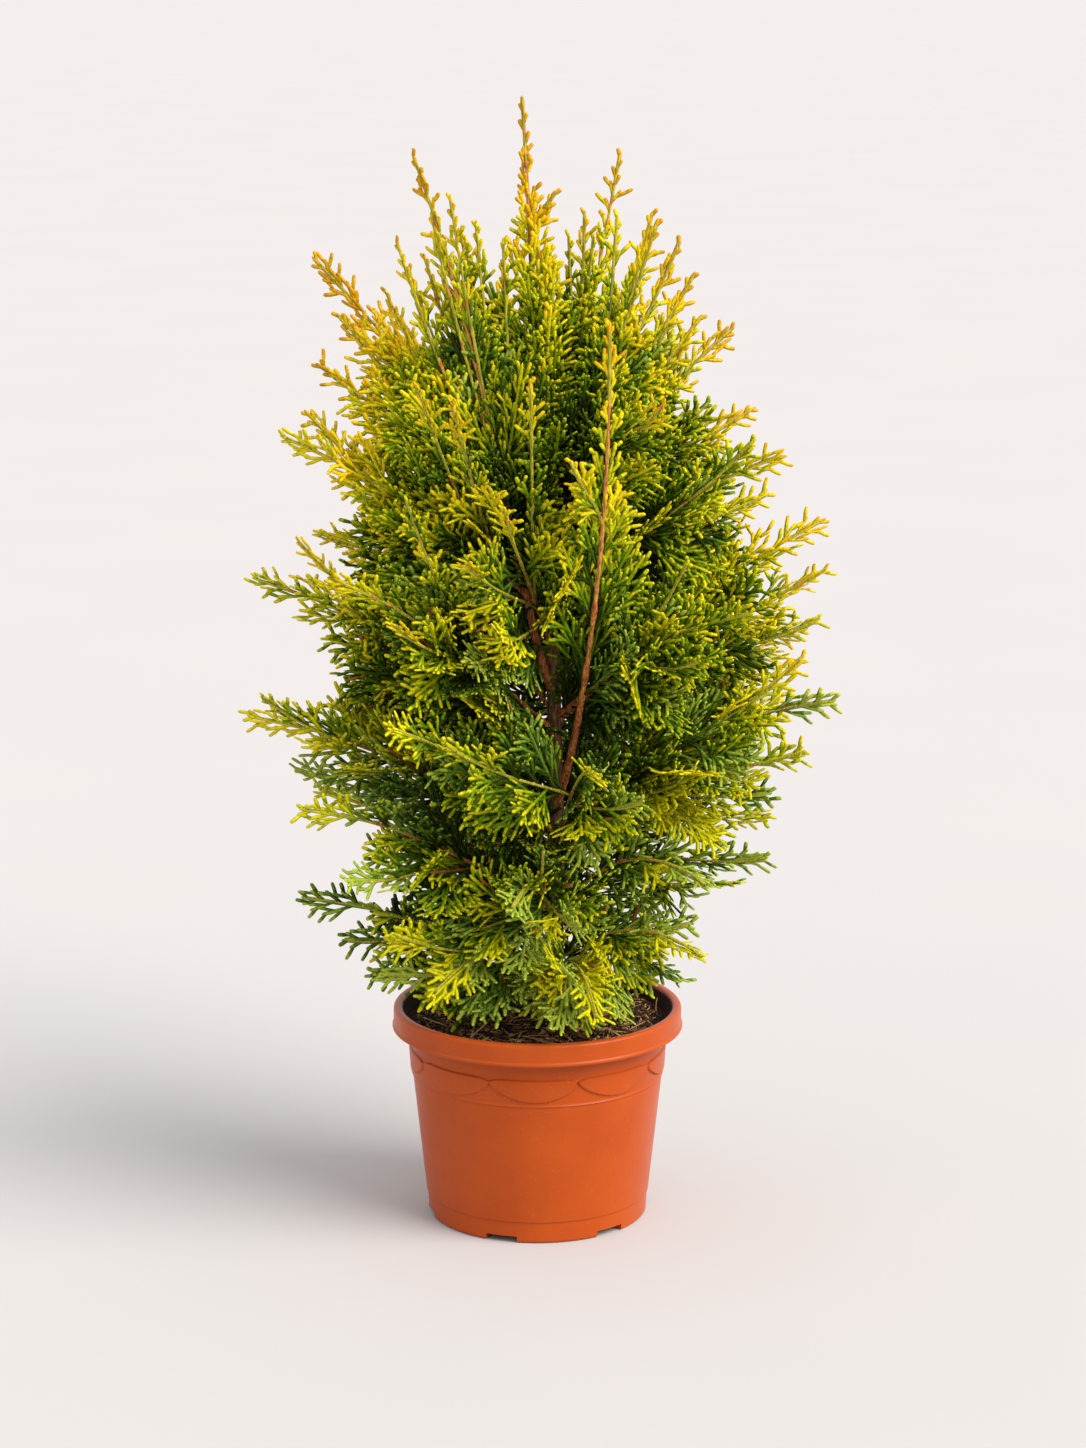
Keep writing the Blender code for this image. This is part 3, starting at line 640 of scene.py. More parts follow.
@dataclass
class Pot:
    """The nursery pot: rolled rim, nine hanging swags in relief, a foot band and drainage notches."""

    rim_radius: float = 0.095
    height: float = 0.140
    rim_depth: float = 0.0145
    rim_inner_radius: float = 0.0881
    rim_wall: float = 0.0025
    rim_round: float = 0.0024
    lip_round: float = 0.0008
    rim_bead: float = 0.0008
    bead_heights: tuple[float, float] = (0.0008, 0.0018)
    corner: float = 0.001
    fold: float = 0.002
    fold_lean: float = 0.0004
    body_radius: float = 0.0844
    ring_radius: float = 0.0826
    ring_height: float = 0.0945
    band_radius: float = 0.0724
    band_height: float = 0.0138
    step: float = 0.0008
    foot_radius: float = 0.0718
    foot_round: float = 0.0016
    wall: float = 0.0019
    floor: float = 0.003
    columns: int = 600
    pole_radius: float = 0.004
    swags: int = 9
    first_cusp_deg: float = -112.0
    swag_top: float = 0.0270
    swag_left: float = 0.0285
    swag_right: float = 0.0305
    swag_drop: float = 0.0122
    swag_fullness: float = 0.62
    cusp_dip: float = 0.0016
    cusp_width: float = 0.07
    relief: float = 0.0013
    relief_edge: float = 0.0005
    relief_fades: tuple[float, float] = (0.0012, 0.004)
    wall_slack: float = 0.0003
    row: float = 0.00045
    notches: int = 6
    notch_width: float = 0.021
    notch_height: float = 0.0042
    notch_reach: float = 0.011
    notch_round: float = 0.0006
    notch_below: float = 0.002
    first_notch_deg: float = 251.0
    smooth_deg: float = 38.0

    def outside(self) -> list[tuple[float, float]]:
        """The profile along the underside and up the outer wall to the rim's underside."""
        foot, band = self.foot_round, self.step / 2
        under = self.height - self.rim_depth
        above_ring = self.ring_height + self.step
        rows = round((under - self.step - above_ring) / self.row)
        points = run((self.pole_radius, 0), (self.foot_radius - foot, 0), 6)
        points += arc((self.foot_radius - foot, foot), foot, -90, 0, 5)
        points += run((self.foot_radius, foot + self.corner), (self.band_radius, self.band_height), 5)
        points += [(self.band_radius, self.band_height), (self.band_radius + band, self.band_height + band)]
        lower = (self.band_radius + self.step, self.band_height + self.step)
        below_ring = self.ring_radius - self.step
        points += run(lower, (below_ring, self.ring_height - band), 14)
        points += [(below_ring, self.ring_height - band), (below_ring, self.ring_height)]
        points += [(self.ring_radius - band, self.ring_height + band)]
        points += run((self.ring_radius, above_ring), (self.body_radius, under - self.step), rows)
        return points + [(self.body_radius, under - self.step)]

    def inside(self) -> list[tuple[float, float]]:
        """The profile up under the rim, over it and down the inner wall to the floor."""
        under, lip, top = self.height - self.rim_depth, self.height - self.rim_wall, self.height
        outer, small, round_ = self.rim_radius, self.lip_round, self.rim_round
        skirt, beaded = outer - self.rim_wall, outer - self.rim_bead
        shoulder, corner = self.rim_inner_radius + self.fold, self.corner
        bead_foot, bead_top = (under + small + height for height in self.bead_heights)
        points = [(self.body_radius + self.fold_lean, under + self.fold)]
        points += run((self.body_radius + 2 * self.fold_lean, under + 2 * self.fold), (shoulder, lip), 4)
        points += [(shoulder, lip), (skirt - corner, lip), (skirt, lip - corner)]
        points += arc((skirt + small, under + small), small, 180, 270, 4)
        points += arc((outer - small, under + small), small, -90, 0, 5)
        points += run((outer, bead_foot), (beaded, bead_top), 2)
        points += run((beaded, bead_top), (beaded, top - round_), 4)
        points += arc((beaded - round_, top - round_), round_, 0, 90, 8)
        points += arc((self.rim_inner_radius + round_, top - round_), round_, 90, 180, 7)
        inner = (self.body_radius - self.wall, under - self.wall)
        foot = (self.foot_radius - self.wall - self.step, self.floor)
        points += run((self.rim_inner_radius - self.fold_lean, top - round_ - corner), inner, 5)
        points += run(inner, foot, 8)
        points += run(foot, (self.pole_radius, self.floor), 5)
        return points + [(self.pole_radius, self.floor)]

    def swag_relief(self, places: np.ndarray) -> np.ndarray:
        """How far each point of the wall moves out: on a swag, or in beside one.

        Args:
            places: Points of the pot, one row each.

        Returns:
            Radial moves in metres.
        """
        bearing = np.degrees(np.arctan2(places[:, 1], places[:, 0])) - self.first_cusp_deg
        share = (bearing % (360 / self.swags)) / (360 / self.swags)
        depth = self.height - places[:, 2]
        dip = self.cusp_dip * np.exp(-((np.minimum(share, 1 - share) / self.cusp_width) ** 2))
        bottom = self.swag_left + (self.swag_right - self.swag_left) * share
        bottom += self.swag_drop * np.sin(np.pi * share) ** self.swag_fullness
        inside = np.minimum(depth - self.swag_top - dip, bottom - depth)
        blend = np.clip(inside / self.relief_edge + 0.5, 0, 1)
        return self.relief * (blend * blend * (3 - 2 * blend) - 0.5)

    def mould_swags(self, obj: bpy.types.Object) -> None:
        """Raise the swags by moving the vertices of the fine rows."""
        places = coordinates(obj.data)
        radius = np.hypot(places[:, 0], places[:, 1])
        low, high = self.ring_height + self.step, self.height - self.rim_depth - self.step
        wall = self.ring_radius + (self.body_radius - self.ring_radius) * (places[:, 2] - low) / (high - low)
        on_wall = (places[:, 2] > low - SLACK) & (places[:, 2] < high + SLACK)
        on_wall &= np.abs(radius - wall) < self.wall_slack
        fade = np.clip((places[:, 2] - low) / self.relief_fades[0], 0, 1)
        fade *= np.clip((high - places[:, 2]) / self.relief_fades[1], 0, 1)
        move = np.where(on_wall, self.swag_relief(places) * fade, 0)
        places[:, :2] *= (1 + move / np.maximum(radius, 1e-6))[:, None]
        move_vertices(obj.data, places)

    def cut_notches(self, obj: bpy.types.Object) -> None:
        """Cut the drainage notches through the foot's edge."""
        tall = self.notch_height + self.notch_below
        for index in range(self.notches):
            deselect_all()
            bearing = math.radians(self.first_notch_deg + index * 360 / self.notches)
            x, y = self.foot_radius * math.cos(bearing), self.foot_radius * math.sin(bearing)
            place = (x, y, tall / 2 - self.notch_below)
            bpy.ops.mesh.primitive_cube_add(size=1, location=place, rotation=(0, 0, bearing))
            cutter = bpy.context.object
            cutter.scale = (2 * self.notch_reach, self.notch_width, tall)
            bpy.ops.object.transform_apply(location=True, rotation=True, scale=True)
            edges = cutter.modifiers.new("Rounded corners", "BEVEL")
            edges.width = self.notch_round
            edges.segments = 2
            apply_all(cutter)
            cut = obj.modifiers.new("Notch", "BOOLEAN")
            cut.operation = "DIFFERENCE"
            cut.object = cutter
            cut.solver = "MANIFOLD"
            apply_all(obj)
            bpy.data.objects.remove(cutter)

    def build(self) -> None:
        """Model and dress the pot."""
        obj = raise_rings(self.outside() + self.inside(), self.columns)
        self.mould_swags(obj)
        self.cut_notches(obj)
        activate(obj)
        bpy.ops.object.shade_smooth_by_angle(angle=math.radians(self.smooth_deg))
        # Painted shade with soil stains: a dark plastic for the shaded inner wall above the soil.
        stained_and_shaded = PotPlastic(
            name="soiled_plastic", body=(52, 28, 14), warm=(68, 34, 14), dull=(38, 22, 12), dust=(66, 45, 29),
            stain=(30, 19, 11), specular=0.12, roughness=(0.7, 0.9),
        )
        dress(obj, "moulded_pot", ["pot"], [PotPlastic().material(), stained_and_shaded.material()])
        self.soil_inner_wall(obj)

    def soil_inner_wall(self, obj: bpy.types.Object) -> None:
        """Give the inner wall above the soil its dark second finish: painted shade, with watering stains."""
        lowest = self.height - self.rim_depth + self.rim_wall
        for face in obj.data.polygons:
            inward = face.center.xy.length < self.rim_inner_radius
            face.material_index = int(inward and face.center.z > lowest)


def unit(vectors: np.ndarray) -> np.ndarray:
    """Rows scaled to unit length."""
    return vectors / np.maximum(np.linalg.norm(vectors, axis=-1, keepdims=True), 1e-12)


def turned(vectors: np.ndarray, axes: np.ndarray, angles: np.ndarray) -> np.ndarray:
    """Rows turned about unit axes.

    Args:
        vectors: The rows to turn.
        axes: One unit axis for each row.
        angles: One angle in radians for each row.

    Returns:
        The turned rows.
    """
    cos, sin = np.cos(angles)[:, None], np.sin(angles)[:, None]
    along = np.sum(axes * vectors, axis=1, keepdims=True)
    return vectors * cos + np.cross(axes, vectors) * sin + axes * along * (1 - cos)


@dataclass
class Shoots:
    """Many slim shoots as arrays, one row each: where they start, how they run and what tone they have."""

    root: np.ndarray
    along: np.ndarray
    face: np.ndarray
    sag: np.ndarray
    length: np.ndarray
    width: np.ndarray
    tone: np.ndarray
    cool: np.ndarray
    spread: np.ndarray
    limb: np.ndarray

    def __len__(self) -> int:
        """How many shoots there are."""
        return len(self.length)

    def at(self, rows: np.ndarray, share: np.ndarray) -> np.ndarray:
        """Points at shares of the chosen shoots."""
        reach = (self.length[rows] * share)[:, None]
        return self.root[rows] + self.along[rows] * reach + self.sag[rows] * (share**2)[:, None]

    def heading(self, rows: np.ndarray, share: np.ndarray) -> np.ndarray:
        """Unit directions at shares of the chosen shoots."""
        return unit(self.along[rows] * self.length[rows][:, None] + 2 * self.sag[rows] * share[:, None])

    def tips(self) -> np.ndarray:
        """The ends of all shoots."""
        return self.root + self.along * self.length[:, None] + self.sag

    def chosen(self, keep: np.ndarray) -> Shoots:
        """The shoots that a mask or an index keeps."""
        return Shoots(*(getattr(self, name)[keep] for name in self.__dataclass_fields__))


@dataclass(frozen=True)
class RodShape:
    """Rings of a slim rod: their shares of its length, and widths as factors."""

    shares: tuple[float, ...]
    widths: tuple[float, ...]
    flatness: float = 0.5
    sides: int = 4

    def triangles(self) -> int:
        """Triangles of one rod."""
        return 2 * self.sides * (len(self.shares) - 1) + 2 * self.sides - 2


class MeshBatch:
    """Rods gathered as arrays and turned into one mesh."""

    def __init__(self) -> None:
        """Start with nothing."""
        self.vertices: list[np.ndarray] = []
        self.loops: list[np.ndarray] = []
        self.sizes: list[np.ndarray] = []
        self.finishes: list[np.ndarray] = []
        self.count = 0

    def add_rods(self, shoots: Shoots, shape: RodShape, finishes: np.ndarray) -> None:
        """Add a rod for each shoot, closed at both ends.

        Args:
            shoots: The shoots.
            shape: Their rings.
            finishes: Material index for each shoot and ring.
        """
        number, rings, sides = len(shoots), len(shape.shares), shape.sides
        if not number:
            return
        share = np.array(shape.shares)
        run_ = shoots.along * shoots.length[:, None]
        centre = shoots.root[:, None] + run_[:, None] * share[:, None]
        centre = centre + shoots.sag[:, None] * share[:, None] ** 2
        heading = unit(run_[:, None] + 2 * shoots.sag[:, None] * share[:, None])
        across = unit(np.cross(np.broadcast_to(shoots.face[:, None], heading.shape), heading))
        normal = np.cross(heading, across)
        half = shoots.width[:, None] / 2 * np.array(shape.widths)
        angle = 2 * np.pi * np.arange(sides) / sides
        wide = across[:, :, None] * (half[:, :, None] * np.cos(angle))[..., None]
        thick = normal[:, :, None] * (half[:, :, None] * shape.flatness * np.sin(angle))[..., None]
        ringed = (centre[:, :, None] + wide + thick).reshape(number, rings * sides, 3)
        self.add(np.concatenate([ringed, shoots.tips()[:, None]], axis=1), rings, sides, finishes)

    def add(self, vertices: np.ndarray, rings: int, sides: int, finishes: np.ndarray) -> None:
        """Add tubes of rings that end in a point.

        Args:
            vertices: For each tube its rings' vertices and its tip.
            rings: Rings of a tube.
            sides: Vertices of a ring.
            finishes: Material index for each tube and ring.
        """
        number, each = vertices.shape[0], vertices.shape[1]
        faces = [list(range(sides))[::-1]]
        part = [0]
        for ring, side in itertools.product(range(rings - 1), range(sides)):
            first, second = ring * sides + side, ring * sides + (side + 1) % sides
            faces.append([first, second, second + sides, first + sides])
            part.append(ring)
        last = (rings - 1) * sides
        for side in range(sides):
            faces.append([last + side, last + (side + 1) % sides, rings * sides])
            part.append(rings - 1)
        loops = np.concatenate([np.array(face) for face in faces])
        starts = (self.count + each * np.arange(number))[:, None]
        self.vertices.append(vertices.reshape(-1, 3))
        self.loops.append((loops[None] + starts).ravel())
        self.sizes.append(np.tile([len(face) for face in faces], number))
        self.finishes.append(finishes[:, part].ravel())
        self.count += number * each

    def build(self, name: str) -> bpy.types.Object:
        """Make the mesh and an object at the origin that holds it."""
        mesh = bpy.data.meshes.new(name)
        vertices, loops = np.concatenate(self.vertices), np.concatenate(self.loops)
        sizes, finishes = np.concatenate(self.sizes), np.concatenate(self.finishes)
        mesh.vertices.add(len(vertices))
        mesh.vertices.foreach_set("co", vertices.astype(np.float32).ravel())
        mesh.loops.add(len(loops))
        mesh.loops.foreach_set("vertex_index", loops.astype(np.int32))
        mesh.polygons.add(len(sizes))
        mesh.polygons.foreach_set("loop_start", (np.cumsum(sizes) - sizes).astype(np.int32))
        mesh.polygons.foreach_set("use_smooth", np.ones(len(sizes), bool))
        mesh.update(calc_edges=True)
        obj = bpy.data.objects.new(name, mesh)
        bpy.context.scene.collection.objects.link(obj)
        mesh.polygons.foreach_set("material_index", finishes.astype(np.int32))
        return obj


@dataclass(frozen=True)
class Litter:
    """One kind of loose bits on the soil."""

    count: int
    longest: float
    widest: float
    bend: float
    shape: RodShape
    finish_shares: tuple[float, float, float, float]
    inmost: float = 0.005
    least_length: float = 0.35
    length_power: float = 1.5
    least_width: float = 0.4
    steepness: float = 0.22
    tilt: float = 0.5


CHIPS = Litter(
    count=1500, longest=0.013, widest=0.0034, bend=0.10,
    shape=RodShape((0.0, 0.18, 0.62, 0.9), (0.5, 1.0, 0.92, 0.6), 0.42), finish_shares=(0.36, 0.42, 0.22, 0),
)
CRUMBS = Litter(
    count=1900, longest=0.0038, widest=0.0032, bend=0.0,
    shape=RodShape((0.0, 0.3, 0.75), (0.55, 1.0, 0.8), 0.8), finish_shares=(0.6, 0.28, 0.12, 0),
)
FIBRES = Litter(
    count=760, longest=0.024, widest=0.0012, bend=0.22,
    shape=RodShape((0.0, 0.22, 0.46, 0.7, 0.9), (0.8, 1.0, 1.0, 0.85, 0.6), 0.9),
    finish_shares=(0.1, 0.28, 0.22, 0.4),
)


@dataclass
class Soil:
    """The soil: a lumpy plug under the rim, with bark chips, crumbs and straw-coloured fibres on it.

    A noise's detail is its octaves' falloff, step in scale and number.
    """

    pot: Pot
    top: float = 0.132
    edge: float = 0.1285
    flat_radius: float = 0.034
    columns: int = 160
    rows: int = 46
    pole_radius: float = 0.004
    middle_radius: float = 0.0016
    edge_step: float = 0.001
    edge_band: float = 0.003
    lump: float = 0.0022
    lump_scale: float = 60
    lump_detail: tuple[float, float, int] = (0.6, 2.2, 3)
    grit: float = 0.0009
    grit_scale: float = 330
    grit_detail: tuple[float, float, int] = (0.7, 2.1, 3)
    tallest: float = 0.003
    wall_clearance: float = 0.004
    litter_lift: float = 0.0006
    litter_sag: float = 0.08
    seed: int = 7

    def wall_radius(self, height: float) -> float:
        """Radius of the pot's inner wall at a height."""
        pot = self.pot
        under = pot.height - pot.rim_depth - pot.wall
        inner, foot = pot.body_radius - pot.wall, pot.foot_radius - pot.wall - pot.step
        if height > under:
            flare = (pot.rim_inner_radius - inner) / (pot.height - pot.rim_round - under)
            return inner + flare * (height - under)
        return foot + (inner - foot) * (height - pot.floor) / (under - pot.floor)

    def height_at(self, x: float, y: float) -> float:
        """Height of the soil's surface, highest round the stem, in lumps and grit."""
        radius = math.hypot(x, y)
        rim = self.wall_radius(self.edge)
        fall = max(0.0, (radius - self.flat_radius) / (rim - self.flat_radius))
        base = self.top + (self.edge - self.top) * fall
        lumps = noise.fractal(Vector((x, y, 0.0)) * self.lump_scale, *self.lump_detail) * self.lump
        grit = noise.fractal(Vector((x, y, 0.3)) * self.grit_scale, *self.grit_detail) * self.grit
        return base + min(self.tallest, lumps + grit)

    def surface(self) -> bpy.types.Object:
        """The plug, with its top in relief."""
        rim = self.wall_radius(self.edge) - GAP
        under = self.pot.height - self.pot.rim_depth - self.pot.wall
        foot = (self.wall_radius(self.pot.floor) - GAP, self.pot.floor + GAP)
        shoulder = (self.wall_radius(under) - GAP, under)
        profile = [(self.pole_radius, foot[1]), foot, shoulder, (rim, self.edge)]
        profile += run((rim - self.edge_step, self.edge), (self.middle_radius, self.edge), self.rows)
        obj = raise_rings(profile, self.columns)
        places = coordinates(obj.data)
        for row in np.flatnonzero(places[:, 2] > self.edge - SLACK):
            x, y = places[row, :2]
            inward = min(1.0, (rim - math.hypot(x, y)) / self.edge_band)
            places[row, 2] = self.edge + (self.height_at(x, y) - self.edge) * inward
        move_vertices(obj.data, places)
        obj.data.shade_smooth()
        return obj

    def scattered(self, kind: Litter, dice: np.random.Generator) -> Shoots:
        """Loose bits of one kind, scattered on the surface.

        Args:
            kind: Their number, sizes and bend.
            dice: Random numbers.

        Returns:
            One shoot for each bit.
        """
        count = kind.count
        limit = self.wall_radius(self.edge) - self.wall_clearance
        bearing = dice.uniform(0, 2 * np.pi, count)
        radius = limit * np.sqrt(dice.uniform(kind.inmost, 1, count))
        length = kind.longest * dice.uniform(kind.least_length, 1, count) ** kind.length_power
        spin = dice.uniform(0, 2 * np.pi, count)
        steep = dice.normal(0, kind.steepness, count)
        along = unit(np.stack([np.cos(spin), np.sin(spin), steep], axis=1))
        x, y = radius * np.cos(bearing), radius * np.sin(bearing)
        reach = np.hypot(x + along[:, 0] * length, y + along[:, 1] * length)
        along[:, :2] *= np.where(reach > limit, -1, 1)[:, None]
        ground = np.array([self.height_at(a, b) for a, b in zip(x, y)])
        z = ground + dice.uniform(0, self.litter_lift, count)
        lean_x, lean_y = dice.normal(0, kind.tilt, count), dice.normal(0, kind.tilt, count)
        face = unit(np.stack([lean_x, lean_y, np.ones(count)], axis=1))
        sag = np.cross(along, face) * (length * dice.normal(0, kind.bend, count))[:, None]
        sag[:, 2] -= length * self.litter_sag
        width = kind.widest * dice.uniform(kind.least_width, 1, count)
        zero = np.zeros(count)
        return Shoots(np.stack([x, y, z], axis=1), along, face, sag, length, width, zero, zero, zero, zero)

    def build(self) -> None:
        """Model and dress the soil and what lies on it."""
        peat = Earth("peat", (14, 9, 6), (50, 33, 20))
        dress(self.surface(), "soil_surface", ["soil"], [peat.material()])
        bits = (
            Earth("dark_chip", (28, 17, 9), (66, 42, 24)),
            Earth("bark_chip", (76, 47, 26), (132, 88, 50)),
            Earth("pale_chip", (146, 106, 64), (206, 164, 108)),
            Earth("straw_fibre", (168, 126, 72), (224, 184, 122)),
        )
        kinds = (CHIPS, CRUMBS, FIBRES)
        dice = np.random.default_rng(self.seed)
        scattered = [self.scattered(kind, dice) for kind in kinds]
        batch = MeshBatch()
        for kind, shoots in zip(kinds, scattered):
            finish = dice.choice(len(bits), len(shoots), p=kind.finish_shares)
            batch.add_rods(shoots, kind.shape, np.repeat(finish[:, None], len(kind.shape.shares), axis=1))
        finishes = [bit.material() for bit in bits]
        dress(batch.build("soil_litter"), "soil_litter", ["soil"], finishes)


@dataclass
class Trunk:
    """The trunk's line and taper, and its bark."""

    soil_top: float = 0.132
    tree_top: float = 0.727
    top: float = 0.640
    foot_x: float = 0.005
    lean_x: float = -0.0144
    bow_x: float = 0.0108
    bow_y: float = 0.004
    bow_skew: float = 0.6
    base_radius: float = 0.0065
    tip_radius: float = 0.0008
    flare_radius: float = 0.0105
    flare_height: float = 0.020
    columns: int = 20
    rows: int = 220
    crowding: float = 1.15
    ridge: float = 0.00055
    ridge_stretch: tuple[float, float, float] = (1.0, 1.0, 0.14)

    def point(self, height: float) -> Vector:
        """The middle of the trunk at a height, bowed to +X low down and leaning to -X at the top."""
        share = (height - self.soil_top) / (self.tree_top - self.soil_top)
        bow = math.sin(math.pi * max(share, 0) ** self.bow_skew)
        return Vector((self.foot_x + self.lean_x * share + self.bow_x * bow, self.bow_y * bow, height))

    def radius(self, height: float) -> float:
        """The trunk's taper, with the root flare added near the soil."""
        share = (height - self.soil_top) / (self.tree_top - self.soil_top)
        taper = self.tip_radius + (self.base_radius - self.tip_radius) * (1 - share)
        flare = max(0, 1 - (height - self.soil_top) / self.flare_height) ** 2
        return taper + (self.flare_radius - self.base_radius) * flare

    def build(self, bark: bpy.types.Material) -> None:
        """Model the trunk ring by ring, raise its bark and dress it."""
        foot = self.soil_top + GAP
        heights = [foot + (self.top - foot) * (i / self.rows) ** self.crowding for i in range(self.rows + 1)]
        points = [self.point(height) for height in heights]
        points[0].xy = points[1].xy
        obj = extruded_limb(points, [self.radius(height) for height in heights], self.columns, UP)
        ridged_bark(obj.data, self.ridge, self.ridge_stretch)
        dress(obj, "bark_trunk", ["trunk"], [bark])


def extruded_limb(points: list[Vector], radii: list[float], columns: int, facing: Vector) -> bpy.types.Object:
    """Model a limb: a circle across its run, extruded and resized ring by ring, with both ends filled.

    Args:
        points: Middles of the rings.
        radii: Radius of each ring.
        columns: Vertices on a ring.
        facing: The direction that every ring faces.

    Returns:
        The limb, in object mode and smooth.
    """
    deselect_all()
    turn = facing.to_track_quat("Z", "Y").to_euler()
    bpy.ops.mesh.primitive_circle_add(
        vertices=columns, radius=radii[0], fill_type="NGON", location=points[0], rotation=turn
    )
    obj = bpy.context.object
    bpy.ops.object.transform_apply(location=True, rotation=True, scale=True)
    bpy.ops.object.mode_set(mode="EDIT")
    bpy.ops.mesh.select_all(action="SELECT")
    for (here, thick), (there, thin) in zip(zip(points, radii), zip(points[1:], radii[1:])):
        bpy.ops.mesh.extrude_region_move(TRANSFORM_OT_translate={"value": there - here})
        scale = thin / thick
        bpy.ops.transform.resize(value=(scale, scale, scale), center_override=there)
    bpy.ops.mesh.select_all(action="SELECT")
    bpy.ops.mesh.normals_make_consistent(inside=False)
    bpy.ops.object.mode_set(mode="OBJECT")
    obj.data.shade_smooth()
    return obj


def ridged_bark(
    mesh: bpy.types.Mesh,
    height: float,
    stretch: tuple[float, float, float],
    ridge_scale: float = 420,
    ridge_detail: tuple[float, float, int] = (0.6, 2.1, 3),
    knot_scale: float = 55,
    knots: float = 0.6,
) -> None:
    """Raise stringy ridges on a limb's mesh along its normals.

    Args:
        mesh: The mesh.
        height: How far the ridges stand up.
        stretch: Factors on the noise's coordinates, small along the grain.
        ridge_scale: Ridges per metre across the grain.
        ridge_detail: Falloff, step in scale and number of the noise's octaves.
        knot_scale: Wider swellings per metre.
        knots: How far the swellings stand up, as a share of the ridges.
    """
    places = coordinates(mesh)
    normals = np.empty(len(mesh.vertices) * 3, np.float32)
    mesh.vertices.foreach_get("normal", normals)
    scale = Vector(stretch) * ridge_scale
    ridges = np.empty(len(places))
    for row, place in enumerate(places):
        swelling = noise.noise(Vector(place) * knot_scale)
        ridges[row] = noise.fractal(Vector(place) * scale, *ridge_detail) + knots * swelling
    move_vertices(mesh, places + normals.reshape(-1, 3) * (ridges * height)[:, None])


def outward(place: Vector, aside: float = 0.5, least: float = 0.03) -> Vector:
    """The direction that a spray faces at a place.

    Args:
        place: The place.
        aside: Factor on how far it turns to the sides.
        least: How far it turns to the front or back, and up, where it grows near the trunk.

    Returns:
        A unit direction away from the trunk, and more to the front or back than aside.
    """
    return Vector((place.x * aside, place.y + math.copysign(least, place.y), least)).normalized()


class Limb:
    """One limb's line: it leaves the trunk at a slant and bows to its tip."""

    slenderness = 0.0086
    tip_radius = 0.0008
    elbow = 0.018
    leave_angle = math.radians(32)
    bow_place = 0.55
    length_points = 12
    bough_points = 5
    stem_points = 6
    tip_spray = 0.034
    frond_share = 1.0
    tip_width = 0.78
    tip_press = 0.36
    near_tip = 0.98
    leafy_share = 0.06
    open_share = 0.02

    def __init__(
        self,
        trunk: Trunk,
        name: str,
        start: float,
        bearing: float,
        reach: float,
        tip: float,
        bow: float,
        bare: float,
    ) -> None:
        """Work out the limb's curve, from the middle of the trunk to its tip."""
        angle = math.radians(bearing)
        out = Vector((math.cos(angle), math.sin(angle), 0))
        root = trunk.point(start)
        end = Vector((out.x * reach, out.y * reach, tip))
        chord = end - root
        along = chord.normalized()
        above = (UP - along * UP.dot(along)).normalized()
        leave = out * math.cos(self.leave_angle) + UP * math.sin(self.leave_angle)
        bowed = root + chord * self.bow_place + above * bow * 2
        self.lay(name, bare, out, (root, root + leave * self.elbow, bowed, end))
        self.root_radius = self.slenderness * self.length

    def lay(
        self, name: str, bare: float, out: Vector, controls: tuple[Vector, Vector, Vector, Vector]
    ) -> None:
        """Set the curve's control points and what follows from them.

        Args:
            name: The limb's name, which its foliage's CAD node ends with.
            bare: Share of its length without foliage.
            out: Level unit direction in which it leads away from the trunk.
            controls: The four points that shape the curve.
        """
        self.name = name
        self.bare = bare
        self.out = out
        self.controls = controls
        line = self.points(0, 1, self.length_points)
        self.length = sum((b - a).length for a, b in zip(line, line[1:]))

    def at(self, t: float) -> Vector:
        """The point at share t of the curve."""
        a, b, c, d = self.controls
        s = 1 - t
        return a * s**3 + b * 3 * s * s * t + c * 3 * s * t * t + d * t**3

    def direction(self, t: float) -> Vector:
        """The unit direction at share t of the curve."""
        a, b, c, d = self.controls
        s = 1 - t
        return ((b - a) * s * s + (c - b) * 2 * s * t + (d - c) * t * t).normalized()

    def radius(self, t: float) -> float:
        """The limb's taper."""
        return self.root_radius * (1 - t) + self.tip_radius * t

    def points(self, first: float, last: float, count: int) -> list[Vector]:
        """Evenly spaced points of the curve."""
        return [self.at(first + (last - first) * i / (count - 1)) for i in range(count)]

    def stem_start(self) -> float:
        """Share of the curve at which the bare bough gives way to the leafy stem."""
        return self.bare

    def stem_end(self) -> float:
        """Share of the curve at which the spray at the tip begins."""
        return 1 - self.tip_spray / self.length

    def side(self, t: float) -> Vector:
        """The unit direction to the limb's own left, square to its run, at share t of the curve."""
        forward = self.direction(t)
        left = UP.cross(self.out)
        return (left - forward * left.dot(forward)).normalized()

    def room_start(self) -> float:
        """Share of the curve from which the limb claims room for its foliage."""
        return self.stem_start()

    def leafy_start(self) -> float:
        """Share of the curve from which fronds grow: only the leaders' boughs stay quite bare."""
        return self.bare + self.open_share if self.name in OPEN_LEADERS else self.leafy_share

    def tip_spread(self) -> float:
        """How wide the spray at the tip spreads: upright leaders have only short nubs."""
        return self.tip_width - self.tip_press * max(0.0, self.direction(self.near_tip).z) ** 2


class Twig(Limb):
    """A side stem of a limb, which ends in a plume of its own."""

    slimness = 0.62
    bend = 0.10
    bend_place = 0.6

    def __init__(self, parent: Limb, share: float, tip: tuple[float, float, float]) -> None:
        """Leave the parent along its run and swing out to the tip."""
        root, end = parent.at(share), Vector(tip)
        chord = end - root
        leave = (parent.direction(share) + chord.normalized()).normalized() * self.elbow
        out = Vector((end.x, end.y, 0)).normalized()
        last = root + chord * self.bend_place - UP * chord.length * self.bend
        self.lay(parent.name, 0.0, out, (root, root + leave, last, end))
        self.root_radius = parent.radius(share) * self.slimness

    def side(self, t: float) -> Vector:
        """The unit direction across the twig in the plane of its plume, which faces away from the trunk."""
        return self.direction(t).cross(outward(self.at(t))).normalized()


